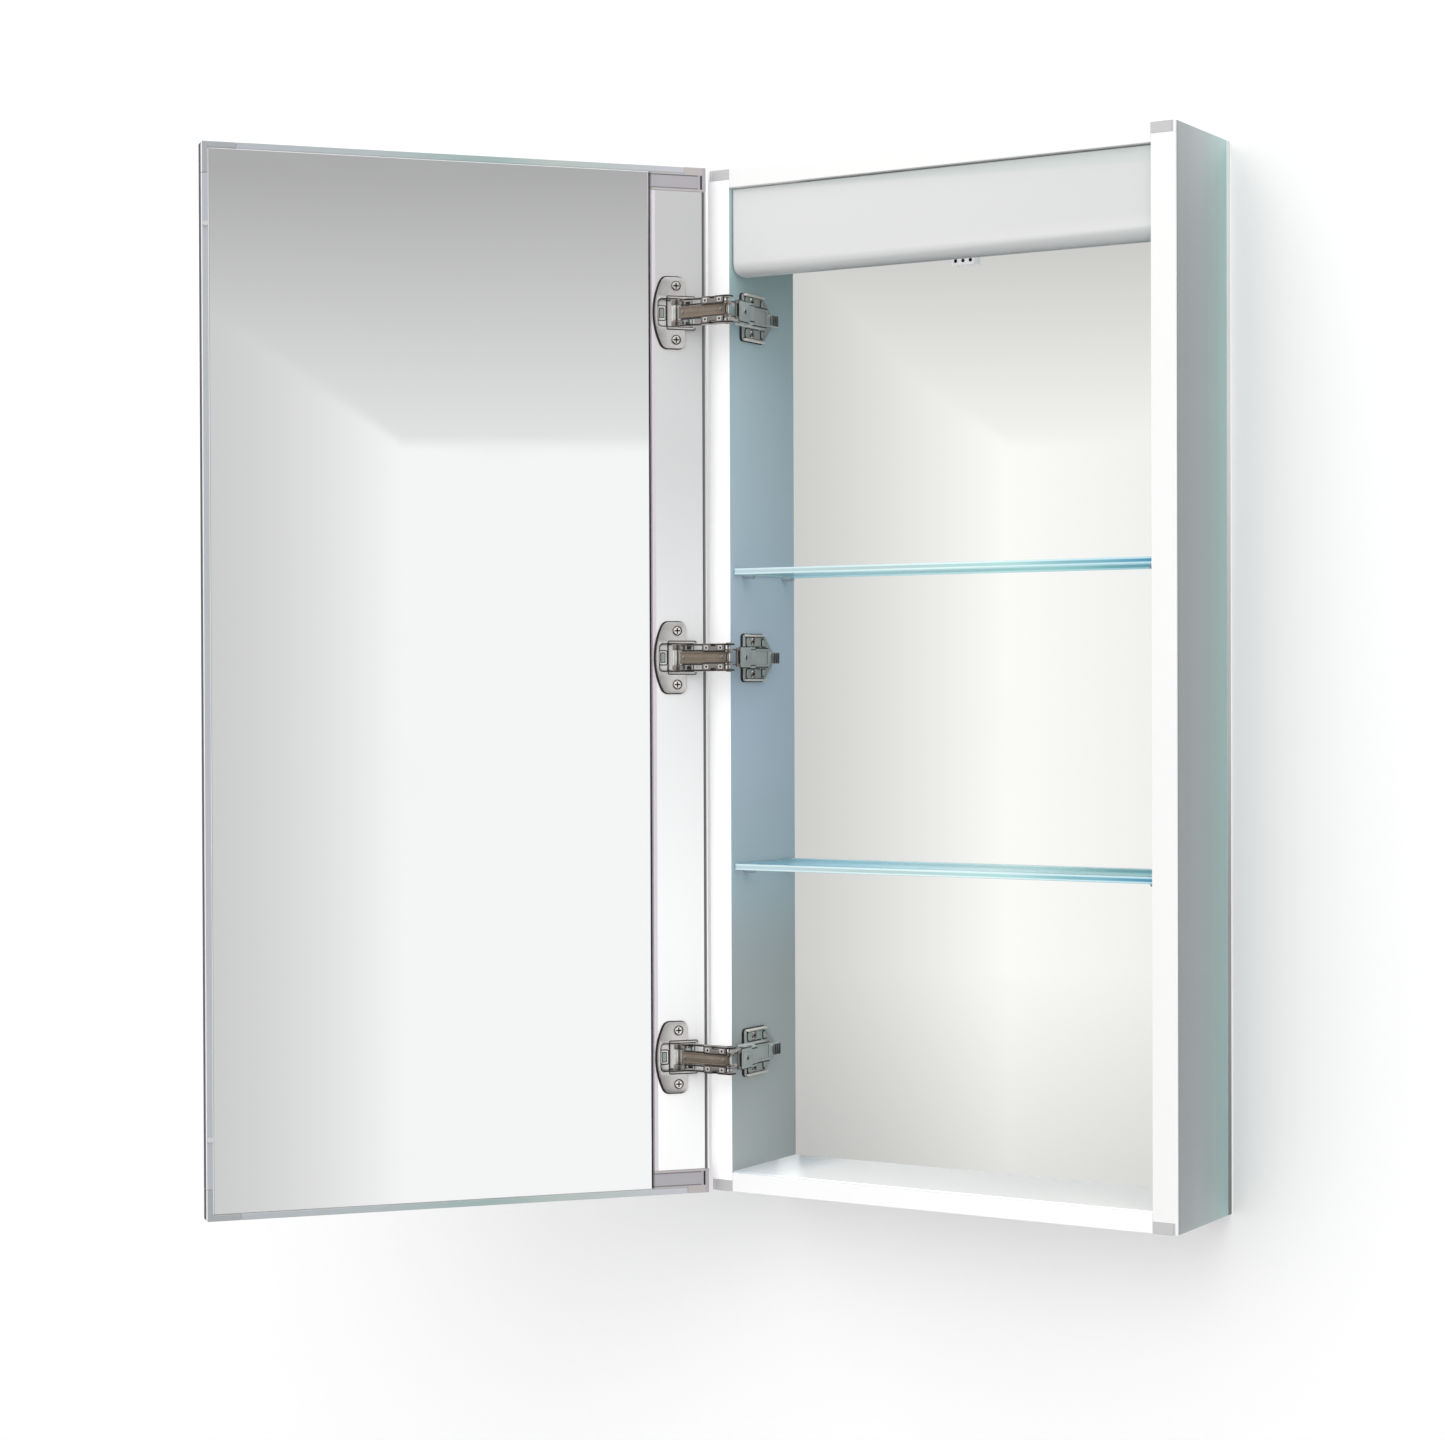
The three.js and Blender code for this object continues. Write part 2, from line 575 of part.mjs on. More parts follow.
// The same flat piece above and below the hinge's middle, from |z| = `near` to `far`
function bothCheeks(shape, z, near, far, segments) {
  return [prismZ(shape, z + near, z + far, segments), prismZ(shape, z - far, z - near, segments)];
}

function buildPlate(name, z) {
  const face = across(SIDE_THICKNESS);
  const front = forward(armPivotV) + PLATE_BEHIND_PIVOT;
  const rear = front + PLATE_LENGTH;
  const half = PLATE_HALF_HEIGHT;
  const shape = outline([
    [front + PLATE_FRONT_CHAMFER, z - half], [rear - PLATE_REAR_CHAMFER, z - half],
    [rear, z - half + PLATE_REAR_CHAMFER], [rear, z + half - PLATE_REAR_CHAMFER],
    [rear - PLATE_REAR_CHAMFER, z + half], [front + PLATE_FRONT_CHAMFER, z + half],
    [front, z + half - PLATE_FRONT_CHAMFER], [front, z - half + PLATE_FRONT_CHAMFER],
  ]);
  const plate = prismX(shape, face, face + PLATE_THICKNESS);
  const lipY = [front + PLATE_FRONT_CHAMFER, front + PLATE_FRONT_CHAMFER + PLATE_LIP_LENGTH];
  const lips = [-1, 1].map((side) => {
    const spanZ = [z + side * (half - PLATE_LIP_THICKNESS), z + side * half].sort((a, b) => a - b);
    return block([face, face + PLATE_THICKNESS + PLATE_LIP_RISE], lipY, spanZ);
  });
  place(cabinet, `hinge_plate_${name}`, join(plate, ...lips), nickel);
}

// The arm is a channel on the plate: two cheeks that carry the first pivot, and a cover
function buildArm(name, z) {
  const [pivotU, pivotV] = armPivot;
  const pivotX = across(pivotU);
  const pivotY = forward(pivotV);
  const baseX = across(SIDE_THICKNESS) + PLATE_THICKNESS;
  const topX = across(SIDE_THICKNESS) + ARM_COVER_RISE;
  const rearY = pivotY + ARM_LENGTH;
  const coverY = pivotY + ARM_COVER_START;
  const noseY = pivotY - ARM_NOSE_RADIUS;
  const cheek = new THREE.Shape();
  cheek.moveTo(baseX, rearY);
  cheek.lineTo(baseX, noseY + ARM_NOSE_RADIUS);
  cheek.lineTo(baseX + ARM_NOSE_RADIUS, noseY);
  cheek.lineTo(pivotX, noseY);
  cheek.absarc(pivotX, pivotY, ARM_NOSE_RADIUS, -Math.PI / 2, 0, false);
  cheek.lineTo(topX, coverY);
  cheek.lineTo(topX, rearY);
  cheek.closePath();
  cheek.holes.push(circlePath(pivotX, pivotY, holeRadius));
  const cheeks = bothCheeks(cheek, z, armLevel, armHalf, 6);
  const spanZ = [z - armHalf, z + armHalf];
  const base = block([baseX, baseX + ARM_BASE], [pivotY, rearY], spanZ);
  const cover = block([topX - ARM_COVER_THICKNESS, topX], [coverY, rearY], spanZ);
  const rearWall = block([baseX, topX], [rearY - ARM_COVER_THICKNESS, rearY], spanZ);
  place(cabinet, `hinge_arm_${name}`, join(cheeks[0], cheeks[1], base, cover, rearWall), nickel);
}

// The ribbed lever at the rear of the arm, which is pressed towards the side to free the hinge
function buildLever(name, z) {
  const midX = across(SIDE_THICKNESS) + LEVER_RISE;
  const startY = forward(armPivotV) + ARM_LENGTH + LEVER_GAP;
  const half = LEVER_THICKNESS / 2;
  const spanZ = [z - LEVER_HALF_HEIGHT, z + LEVER_HALF_HEIGHT];
  const body = block([midX - half, midX + half], [startY, startY + LEVER_LENGTH], spanZ);
  const pitch = LEVER_LENGTH / LEVER_RIBS;
  const ribs = Array.from({ length: LEVER_RIBS }, (_, i) => block(
    [midX + half - LEVER_RIB_HEIGHT / 2, midX + half + LEVER_RIB_HEIGHT],
    [startY + pitch * (i + 0.5), startY + pitch * (i + 1)], spanZ));
  place(cabinet, `hinge_lever_${name}`, join(body, ...ribs), nickel);
}

// The link turns on the arm: two cheeks on a web, with a stub pin on the outside of each cheek
function buildLink(group, name, z) {
  const shape = barShape(LINK_LENGTH, LINK_RADIUS);
  shape.holes.push(circlePath(LINK_LENGTH, 0, holeRadius));
  const cheeks = bothCheeks(shape, z, linkLevel, linkHalf, 8);
  const web = block([LINK_WEB_START, LINK_LENGTH - LINK_WEB_TO_ELBOW],
    [LINK_RADIUS - LINK_WEB, LINK_RADIUS], [z - linkHalf, z + linkHalf]);
  const middle = (linkLevel + linkHalf) / 2;
  const stubs = [
    pinZ(0, 0, PIN_RADIUS, z + middle, z + armHalf), pinZ(0, 0, PIN_RADIUS, z - armHalf, z - middle)];
  place(group, `hinge_link_${name}`, join(cheeks[0], cheeks[1], web, ...stubs), nickel);
}

// The coupler is a narrow channel, with a pin in the link's end and a barrel in the door's cup
function buildCoupler(group, name, z) {
  const half = COUPLER_HALF_HEIGHT;
  const shape = barShape(COUPLER_LENGTH, COUPLER_RADIUS);
  const cheeks = bothCheeks(shape, z, half - COUPLER_CHEEK, half, 8);
  const web = block([0, COUPLER_LENGTH], [COUPLER_RADIUS - COUPLER_WEB, COUPLER_RADIUS],
    [z - half, z + half]);
  const elbowPin = pinZ(0, 0, PIN_RADIUS, z - linkHalf, z + linkHalf);
  const barrel = pinZ(COUPLER_LENGTH, 0, CUP_BARREL_RADIUS, z - CUP_BARREL_HALF, z + CUP_BARREL_HALF);
  const cupPinHalf = cupHalf + CUP_WALL;
  const cupPin = pinZ(COUPLER_LENGTH, 0, PIN_RADIUS, z - cupPinHalf, z + cupPinHalf);
  place(group, `hinge_coupler_${name}`,
    join(cheeks[0], cheeks[1], web, elbowPin, barrel, cupPin), bronze);
}

// The flange of the cup is a D with its straight side towards the door's hinge edge
function flangeShape(z) {
  const bulge = FLANGE.arc - FLANGE.shoulder;
  const straight = cupPivotInset + FLANGE.straight;
  const radius = (FLANGE_HALF ** 2 + bulge ** 2) / (2 * bulge);
  const sweep = Math.asin(FLANGE_HALF / radius);
  const shape = new THREE.Shape();
  const corner = FLANGE_CORNER;
  shape.absarc(straight + corner, z - FLANGE_HALF + corner, corner, Math.PI, 1.5 * Math.PI, false);
  shape.absarc(cupPivotInset + FLANGE.arc - radius, z, radius, -sweep, sweep, false);
  shape.absarc(straight + corner, z + FLANGE_HALF - corner, corner, Math.PI / 2, Math.PI, false);
  shape.closePath();
  return shape;
}

// In the door's own frame x runs from its hinge edge, and y from its inner face to the cabinet
function buildCup(group, name, z) {
  const seat = DOOR_JOINT;
  const [start, end] = cupOpening;
  const flange = prismY(flangeShape(z), seat, seat + FLANGE_THICKNESS, 10);
  const outer = block([start - CUP_WALL, end + CUP_WALL], [-CUP_DEPTH, seat + FLANGE_THICKNESS],
    [z - cupHalf - CUP_WALL, z + cupHalf + CUP_WALL]);
  const hollow = block([start, end], [CUP_WALL - CUP_DEPTH, 2 * FLANGE_THICKNESS + seat],
    [z - cupHalf, z + cupHalf]);
  const pinHole = pinZ(cupPivotInset, -CUP_PIVOT_DEPTH, holeRadius,
    z - cupHalf - 2 * CUP_WALL, z + cupHalf + 2 * CUP_WALL);
  place(group, `hinge_cup_${name}`, cut(join(flange, outer), hollow, pinHole), nickel);
}

function buildHinges(door) {
  const links = planGroup(armPivot, linkAngle);
  const couplers = planGroup(elbowPivot, couplerAngle + 180);
  for (const [name, z] of Object.entries(hingeZ)) {
    buildPlate(name, z);
    buildArm(name, z);
    buildLever(name, z);
    buildLink(links, name, z);
    buildCoupler(couplers, name, z);
    buildCup(door, name, z);
  }
  cabinet.add(links, couplers);
}

// ------------------------------------------------------------------ door

const doorWidth = CABINET_WIDTH - DOOR_SIDE_REVEAL - DOOR_FREE_REVEAL;
const frameDepth = DOOR_THICKNESS - OUTER_MIRROR_THICKNESS - DOOR_JOINT;
const frameY = [-frameDepth, 0];
const railInner = halfHeight - RIM_WIDTH;

function buildDoorMirrors(door) {
  place(door, 'door_mirror_outer', block([0, doorWidth],
    [-DOOR_THICKNESS, -DOOR_THICKNESS + OUTER_MIRROR_THICKNESS], [-halfHeight, halfHeight]), mirrorGlass);
  const edge = RIM_WIDTH + DOOR_JOINT;
  const spanX = [stripWidth + STRIP_TO_MIRROR_GAP, doorWidth - edge];
  const spanZ = [edge - halfHeight, halfHeight - edge];
  const mirrorBack = -INNER_MIRROR_SUNK - INNER_MIRROR_THICKNESS;
  place(door, 'door_mirror_inner', block(spanX, [mirrorBack, -INNER_MIRROR_SUNK], spanZ), mirrorGlass);
  const coreX = [stripWidth + DOOR_JOINT, doorWidth - edge];
  place(door, 'door_core', block(coreX, [-frameDepth, mirrorBack - DOOR_JOINT], spanZ), coreBoard);
}

function buildDoorFrame(door) {
  const capEnd = railInner - DOOR_JOINT;
  const stripEnd = capEnd - STRIP_CAP_HEIGHT;
  const railX = [STRIP_CAP_LEG + DOOR_JOINT, doorWidth - CORNER_LEG_ACROSS - DOOR_JOINT];
  for (const [name, sign] of [['bottom', -1], ['top', 1]]) {
    const span = (a, b) => [sign * a, sign * b].sort((p, q) => p - q);
    place(door, `door_rail_${name}`, block(railX, frameY, span(railInner, halfHeight)), doorProfile);
    const legAcross = block([doorWidth - CORNER_LEG_ACROSS, doorWidth], frameY,
      span(railInner, halfHeight));
    const legDown = block([doorWidth - RIM_WIDTH, doorWidth], frameY,
      span(halfHeight - CORNER_LEG_DOWN, halfHeight));
    place(door, `door_corner_${name}`, join(legAcross, legDown), greyPlastic);
    const capAcross = block([0, stripWidth], frameY, span(stripEnd, capEnd));
    const capLeg = block([0, STRIP_CAP_LEG], frameY, span(stripEnd, halfHeight));
    place(door, `strip_cap_${name}`, join(capAcross, capLeg), greyPlastic);
    place(door, `door_bumper_${name}`, bumper(sign * (halfHeight - BUMPER_FROM_END)), clearRubber);
  }
  const stileEnd = halfHeight - CORNER_LEG_DOWN - DOOR_JOINT;
  place(door, 'door_stile_free',
    block([doorWidth - RIM_WIDTH, doorWidth], frameY, [-stileEnd, stileEnd]), doorProfile);
  place(door, 'door_stile_hinge', hingeStile(stripEnd - DOOR_JOINT), doorProfile);
}

// A soft disc on the free stile, which meets the cabinet's side bar when the door shuts
function bumper(z) {
  const disc = new THREE.CylinderGeometry(BUMPER_RADIUS, BUMPER_RADIUS, BUMPER_HEIGHT, 16);
  return disc.translate(doorWidth - RIM_WIDTH / 2, DOOR_JOINT + BUMPER_HEIGHT / 2, z);
}

// The wide strip along the hinge edge, with a groove along it and a pocket for each cup
function hingeStile(half) {
  const bar = block([0, stripWidth], frameY, [-half, half]);
  const groove = block([STRIP_GROOVE_INSET, STRIP_GROOVE_INSET + STRIP_GROOVE_WIDTH],
    [-STRIP_GROOVE_DEPTH, 1], [-halfHeight, halfHeight]);
  const play = CUP_WALL + CUP_POCKET_CLEARANCE;
  const pockets = Object.values(hingeZ).map((z) => block(
    [cupOpening[0] - play, cupOpening[1] + play], [-CUP_DEPTH - CUP_POCKET_CLEARANCE, 1],
    [z - cupHalf - play, z + cupHalf + play]));
  return cut(bar, groove, ...pockets);
}

// ------------------------------------------------------------------ assembly

buildSides();
buildBars();
buildBack();
buildShelves();
buildBoxCover();
buildOutlet();
buildTray();
buildTerminalBlock();
buildGland();
buildLead();

const door = planGroup(doorCorner, DOOR_OPEN_ANGLE);
buildDoorMirrors(door);
buildDoorFrame(door);
buildHinges(door);
cabinet.add(door);

export default cabinet;
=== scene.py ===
# A wall-hung medicine cabinet: white aluminium frame, mirrors, glass shelves, an electrics box
# with an outlet, and a mirrored door on three concealed hinges. Metres, in the row's frame:
# the wall is at y = 0, +Z is up and +X is to the right.

import json
import math

import bmesh
import bpy
from mathutils import Matrix, Vector


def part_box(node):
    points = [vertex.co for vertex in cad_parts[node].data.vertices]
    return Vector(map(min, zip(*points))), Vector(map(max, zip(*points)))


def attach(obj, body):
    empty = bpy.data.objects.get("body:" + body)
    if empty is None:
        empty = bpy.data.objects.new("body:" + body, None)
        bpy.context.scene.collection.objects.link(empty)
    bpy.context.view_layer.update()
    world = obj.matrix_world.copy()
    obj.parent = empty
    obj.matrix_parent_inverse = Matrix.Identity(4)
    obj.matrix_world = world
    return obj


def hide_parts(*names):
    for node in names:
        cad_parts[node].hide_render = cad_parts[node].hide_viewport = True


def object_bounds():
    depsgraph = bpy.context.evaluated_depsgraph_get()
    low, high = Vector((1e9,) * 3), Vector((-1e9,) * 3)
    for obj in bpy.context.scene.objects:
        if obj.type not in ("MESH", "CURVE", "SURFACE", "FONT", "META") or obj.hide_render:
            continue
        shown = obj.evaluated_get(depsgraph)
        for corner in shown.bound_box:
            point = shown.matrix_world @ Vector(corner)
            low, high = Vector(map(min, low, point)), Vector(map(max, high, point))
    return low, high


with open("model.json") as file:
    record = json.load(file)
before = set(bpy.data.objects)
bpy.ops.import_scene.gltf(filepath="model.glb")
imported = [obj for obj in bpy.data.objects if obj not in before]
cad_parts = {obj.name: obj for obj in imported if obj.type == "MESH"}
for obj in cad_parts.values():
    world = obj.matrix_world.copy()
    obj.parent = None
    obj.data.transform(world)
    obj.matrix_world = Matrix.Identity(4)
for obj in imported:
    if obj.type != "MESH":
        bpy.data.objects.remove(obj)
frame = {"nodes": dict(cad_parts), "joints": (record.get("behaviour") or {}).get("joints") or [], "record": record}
cad_bounds = [list(corner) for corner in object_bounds()]

MM = 0.001
LOW, HIGH = (Vector(corner) for corner in cad_bounds)
BODY_OF = {node: body for body, nodes in frame["record"]["behaviour"]["bodies"].items() for node in nodes}
PIVOTS = {joint["name"]: Vector(joint["pos_m"]) for joint in frame["joints"]}
LEVELS = ("top", "middle", "bottom")


# ------------------------------------------------------------------ sizes

# Camera
CAMERA_PLACE = (1.0089, -2.040, -0.008)
CAMERA_YAW = -31.57  # degrees from straight at the wall, to the left negative
CAMERA_PITCH = -0.61
CAMERA_ROLL = -0.2
CAMERA_LENS = 73.5
CAMERA_SHIFT_Y = 0.002

# Light: what the room gives from below, at eye level and from above, and the lamps' power
ROOM_LIGHT = (0.40, 0.90, 1.50)
FRONT_LAMP_POWER = 10.0
TOP_LAMP_POWER = 5.0

# Stage: a wall and a floor
FLOOR_DROP = 0.75  # from the cabinet's foot
STAGE_REACH = 4.0
WALL_CLEARANCE = 0.0008

# Door, as modelled: turned from closed, and its hinge edge on its inner face
DOOR_ANGLE = math.radians(130.0)
DOOR_ALONG = Vector((math.cos(DOOR_ANGLE), -math.sin(DOOR_ANGLE), 0.0))  # hinge edge to free edge
DOOR_INWARD = Vector((-DOOR_ALONG.y, DOOR_ALONG.x, 0.0))  # out of its inner face
CUP_PIVOT = (22.28, -2.1)  # third pivot from the door's hinge edge, and from its inner face
DOOR_EDGE = PIVOTS["door_swing"] - (DOOR_ALONG * CUP_PIVOT[0] + DOOR_INWARD * CUP_PIVOT[1]) * MM
# From here to the inner face, the free end is white: a painted highlight.
DOOR_DARK_DEPTH = 4.5 * MM  # the door's free end is dark from here to its outer face
DOOR_WIDTH = 385.0 * MM
# Where the groove's painted shadow line and the edge's painted lilac highlight lie on the strip.
STRIP_GROOVE_SHADOW = (1.0 * MM, 3.2 * MM)  # from the door's hinge edge
STRIP_EDGE_HIGHLIGHT = (40.4 * MM, 41.2 * MM)

# Cabinet front
CAP_TO_LIP = 1.6 * MM  # white lip left at the outer side of each corner cap
REAR_LIP_DEPTH = 7.0 * MM

# Edges of each kind of piece
PROFILE_EDGE = 0.35 * MM
GLASS_EDGE = 0.5 * MM
MOULDED_EDGE = 0.6 * MM
SHEET_EDGE = 0.25 * MM
FINE_EDGE = 0.12 * MM

# Caps of the door's strip. The slit and the panel lie between two distances from the door's hinge edge.
CAP_SLIT, CAP_SLIT_DEPTH = (3.0 * MM, 4.4 * MM), 0.8 * MM
CAP_PANEL, CAP_PANEL_DEPTH = (6.4 * MM, 41.5 * MM), 0.3 * MM
CAP_BORDER = 0.9 * MM
CAP_NARROW, CAP_WIDE = 1.6 * MM, 6.0 * MM  # plain ends of the cap, beside the strip and outside
HAIR = 1e-5


# ------------------------------------------------------------------ node trees

class Tree:
    """Adds nodes to a tree. An input given as a socket is linked, and any other is set."""

    def __init__(self, tree):
        self.nodes = tree.nodes
        self.links = tree.links

    def add(self, kind, inputs=None, **settings):
        node = self.nodes.new(kind)
        for key, value in settings.items():
            setattr(node, key, value)
        for key, value in (inputs or {}).items():
            if isinstance(value, bpy.types.NodeSocket):
                self.links.new(value, node.inputs[key])
            else:
                node.inputs[key].default_value = value
        return node

    def math(self, operation, a, b=0.0, clamp=False):
        return self.add("ShaderNodeMath", {0: a, 1: b}, operation=operation, use_clamp=clamp).outputs[0]

    def ramp(self, value, stops):
        """A colour for each stop: (position from 0 to 1, (r, g, b))."""
        node = self.add("ShaderNodeValToRGB", {0: value})
        node.color_ramp.interpolation = "EASE"
        elements = node.color_ramp.elements
        while len(elements) < len(stops):
            elements.new(0.5)
        for element, (position, colour) in zip(elements, stops):
            element.position = position
            element.color = (*colour, 1.0)
        return node.outputs[0]

    def span(self, value, low, high, start=0.0, end=1.0, smooth=True):
        kind = "SMOOTHSTEP" if smooth else "LINEAR"
        return self.add("ShaderNodeMapRange", {0: value, 1: low, 2: high, 3: start, 4: end},
                        interpolation_type=kind).outputs[0]

    def place(self):
        """The shaded point, in metres in the object's own frame."""
        return self.add("ShaderNodeTexCoord").outputs["Object"]

    def place_parts(self):
        return self.add("ShaderNodeSeparateXYZ", {0: self.place()}).outputs

    def from_door_edge(self):
        """Distance from the door's hinge edge, along the door."""
        along = self.add("ShaderNodeVectorMath", {0: self.place(), 1: DOOR_ALONG}, operation="DOT_PRODUCT")
        return self.math("SUBTRACT", along.outputs["Value"], DOOR_EDGE.dot(DOOR_ALONG))

    def cloud(self):
        """Slow changes, for the tone of a coat."""
        noise = self.add("ShaderNodeTexNoise", {"Vector": self.place(), "Scale": 6.0, "Detail": 3.0})
        return noise.outputs[0]

    def mix(self, factor, a, b):
        node = self.add("ShaderNodeMix", {0: factor, 6: a, 7: b}, data_type="RGBA")
        return node.outputs[2]


def grey(value):
    return (value, value, value, 1.0)


def group(name, inputs, outputs):
    """A shader node group, with its tree, its input node and its output node."""
    tree = bpy.data.node_groups.new(name, "ShaderNodeTree")
    for label, default in inputs:
        kind = "NodeSocketFloat" if isinstance(default, float) else "NodeSocketColor"
        tree.interface.new_socket(label, in_out="INPUT", socket_type=kind).default_value = default
    for label, kind in outputs:
        tree.interface.new_socket(label, in_out="OUTPUT", socket_type=kind)
    t = Tree(tree)
    return tree, t, t.add("NodeGroupInput").outputs, t.add("NodeGroupOutput").inputs


def grain_group():
    """Fine even texture, as on moulded plastic and powder coat."""
    tree, t, given, out = group(
        "grain", [("Scale", 900.0), ("Spread", 0.06), ("Roughness", 0.4)],
        [("Height", "NodeSocketFloat"), ("Roughness", "NodeSocketFloat")])
    place = t.place()
    fine = t.add("ShaderNodeTexNoise", {"Vector": place, "Scale": given["Scale"], "Detail": 3.0})
    wide = t.add("ShaderNodeTexNoise", {"Vector": place, "Scale": 14.0, "Detail": 4.0})
    swing = t.math("MULTIPLY", t.math("SUBTRACT", wide.outputs[0], 0.5), given["Spread"])
    t.links.new(fine.outputs[0], out["Height"])
    t.links.new(t.math("ADD", given["Roughness"], swing), out["Roughness"])
    return tree


def brushed_group():
    """Rolled and tumbled metal: fine streaks along z, with small pits."""
    tree, t, given, out = group(
        "rolled metal", [("Tone", (0.5, 0.5, 0.5, 1.0)), ("Contrast", 0.2), ("Roughness", 0.3)],
        [("Colour", "NodeSocketColor"), ("Height", "NodeSocketFloat"), ("Roughness", "NodeSocketFloat")])
    place = t.place()
    stretched = t.add("ShaderNodeMapping", {"Vector": place, "Scale": (1.0, 1.0, 0.25)}).outputs[0]
    streaks = t.add("ShaderNodeTexNoise", {"Vector": stretched, "Scale": 1400.0, "Detail": 4.0}).outputs[0]
    clouds = t.add("ShaderNodeTexNoise", {"Vector": place, "Scale": 160.0, "Detail": 3.0}).outputs[0]
    both = t.math("ADD", t.math("MULTIPLY", streaks, 0.5), t.math("MULTIPLY", clouds, 0.5))
    shade = t.math("ADD", 1.0, t.math("MULTIPLY", t.math("SUBTRACT", both, 0.5), given["Contrast"]))
    scaled = t.add("ShaderNodeVectorMath", {0: given["Tone"], "Scale": shade}, operation="SCALE")
    t.links.new(scaled.outputs[0], out["Colour"])
    t.links.new(streaks, out["Height"])
    rough = t.math("ADD", given["Roughness"], t.math("MULTIPLY", t.math("SUBTRACT", clouds, 0.5), 0.15))
    t.links.new(rough, out["Roughness"])
    return tree


def film_group():
    """A faint film on glass that was wiped: how rough it is from place to place."""
    tree, t, given, out = group(
        "wiped film", [("Clean", 0.02), ("Filmed", 0.06)], [("Roughness", "NodeSocketFloat")])
    place = t.place()
    wiped = t.add("ShaderNodeMapping", {"Vector": place, "Rotation": (0.3, 0.5, 0.2),
                                        "Scale": (3.0, 3.0, 11.0)}).outputs[0]
    film = t.add("ShaderNodeTexNoise", {"Vector": wiped, "Scale": 2.2, "Detail": 5.0}).outputs[0]
    share = t.span(film, 0.45, 0.75)
    lift = t.math("MULTIPLY", share, t.math("SUBTRACT", given["Filmed"], given["Clean"]))
    t.links.new(t.math("ADD", given["Clean"], lift), out["Roughness"])
    return tree


GRAIN = grain_group()
ROLLED = brushed_group()
FILM = film_group()


# ------------------------------------------------------------------ materials

def shader(name, **values):
    """A material with one Principled BSDF, and the values set on its own sockets."""
    material = bpy.data.materials.new(name)
    material.use_nodes = True
    surface = material.node_tree.nodes["Principled BSDF"]
    for key, value in values.items():
        surface.inputs[key.replace("_", " ")].default_value = value
    return material, Tree(material.node_tree), surface.inputs


def bump(t, sockets, height, strength, distance):
    made = t.add("ShaderNodeBump", {"Height": height, "Strength": strength, "Distance": distance})
    t.links.new(made.outputs[0], sockets["Normal"])


def fine_grain(t, sockets, scale, strength, depth):
    """A bump like that of paint or moulded plastic. The group is given back for its roughness."""
    made = t.add("ShaderNodeGroup", node_tree=GRAIN)
    made.inputs["Scale"].default_value = scale
    bump(t, sockets, made.outputs["Height"], strength, depth)
    return made


def grained(name, colour, roughness, scale, depth, spread=0.06, **values):
    """Painted or moulded: one colour with slow changes in tone, and a fine grain."""
    material, t, sockets = shader(name, **values)
    made = t.add("ShaderNodeGroup", node_tree=GRAIN)
    made.inputs["Scale"].default_value = scale
    made.inputs["Spread"].default_value = spread
    made.inputs["Roughness"].default_value = roughness
    cloud = t.cloud()
    darker = tuple(channel * 0.975 for channel in colour[:3]) + (1.0,)
    t.links.new(t.mix(cloud, darker, colour), sockets["Base Color"])
    t.links.new(made.outputs["Roughness"], sockets["Roughness"])
    bump(t, sockets, made.outputs["Height"], 0.25, depth)
    return material


def rolled(name, tone, contrast, roughness, depth=0.00002, **values):
    """Rolled metal, with painted shade in its base colour in the corners where folded sheets meet."""
    material, t, sockets = shader(name, **{"Metallic": 1.0, **values})
    made = t.add("ShaderNodeGroup", {"Tone": tone, "Contrast": contrast, "Roughness": roughness},
                 node_tree=ROLLED)
    # Painted shade: where the piece's own faces close round a point, the base colour darkens towards 0.08 of its
    # tone.
    near = t.add("ShaderNodeAmbientOcclusion", {"Distance": 0.0035}, samples=12, only_local=True)
    unshaded_share = t.span(near.outputs["AO"], 0.35, 0.92)
    crevice_shade = tuple(channel * 0.08 for channel in tone[:3]) + (1.0,)
    t.links.new(t.mix(unshaded_share, crevice_shade, made.outputs["Colour"]), sockets["Base Color"])
    t.links.new(made.outputs["Roughness"], sockets["Roughness"])
    bump(t, sockets, made.outputs["Height"], 0.3, depth)
    return material


def box_material():
    """Light grey moulding with painted light and shade: a highlight above its lower edge, shade on that edge and
    towards the right, and a shadow under its top.
    """
    material, t, sockets = shader("light grey moulding with painted light and shade", Roughness=0.42)
    low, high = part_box("electrics_cover")
    x, _, z = t.place_parts()
    across = t.span(x, low[0], high[0], smooth=False)
    lower = t.math("SUBTRACT", z, t.math("ADD", low[2] + 0.0035, t.math("MULTIPLY", across, 0.006)))
    upper = t.math("SUBTRACT", z, t.math("SUBTRACT", high[2] - 0.003, t.math("MULTIPLY", across, 0.010)))
    # Painted shade: the face darkens towards the right.
    pale = t.mix(across, (0.725, 0.73, 0.728, 1.0), (0.665, 0.67, 0.668, 1.0))
    # Painted highlight just above the lower edge.
    colour = t.mix(t.span(lower, 0.001, 0.012), grey(0.715), pale)
    # Painted shadow of the top, in a band under it that widens to the right.
    colour = t.mix(t.span(upper, 0.0, 0.004), colour, (0.62, 0.66, 0.645, 1.0))
    # Painted shade on the rounded lower edge.
    colour = t.mix(t.span(lower, -0.002, 0.001), (0.64, 0.645, 0.645, 1.0), colour)
    t.links.new(colour, sockets["Base Color"])
    made = fine_grain(t, sockets, 800.0, 0.25, 0.00003)
    t.links.new(made.outputs["Roughness"], sockets["Roughness"])
    return material


def height_colour(t, low, high, stops):
    """A colour by height in the object, from `low` to `high` metres."""
    z = t.place_parts()[2]
    return t.ramp(t.span(z, low, high, smooth=False), stops)


def silvered(name, tint, clean=0.015, filmed=0.05):
    """Silvered glass with a faint wiped film."""
    material, t, sockets = shader(name, Base_Color=tint, Metallic=1.0)
    made = t.add("ShaderNodeGroup", node_tree=FILM)
    made.inputs["Clean"].default_value = clean
    made.inputs["Filmed"].default_value = filmed
    t.links.new(made.outputs[0], sockets["Roughness"])
    return material


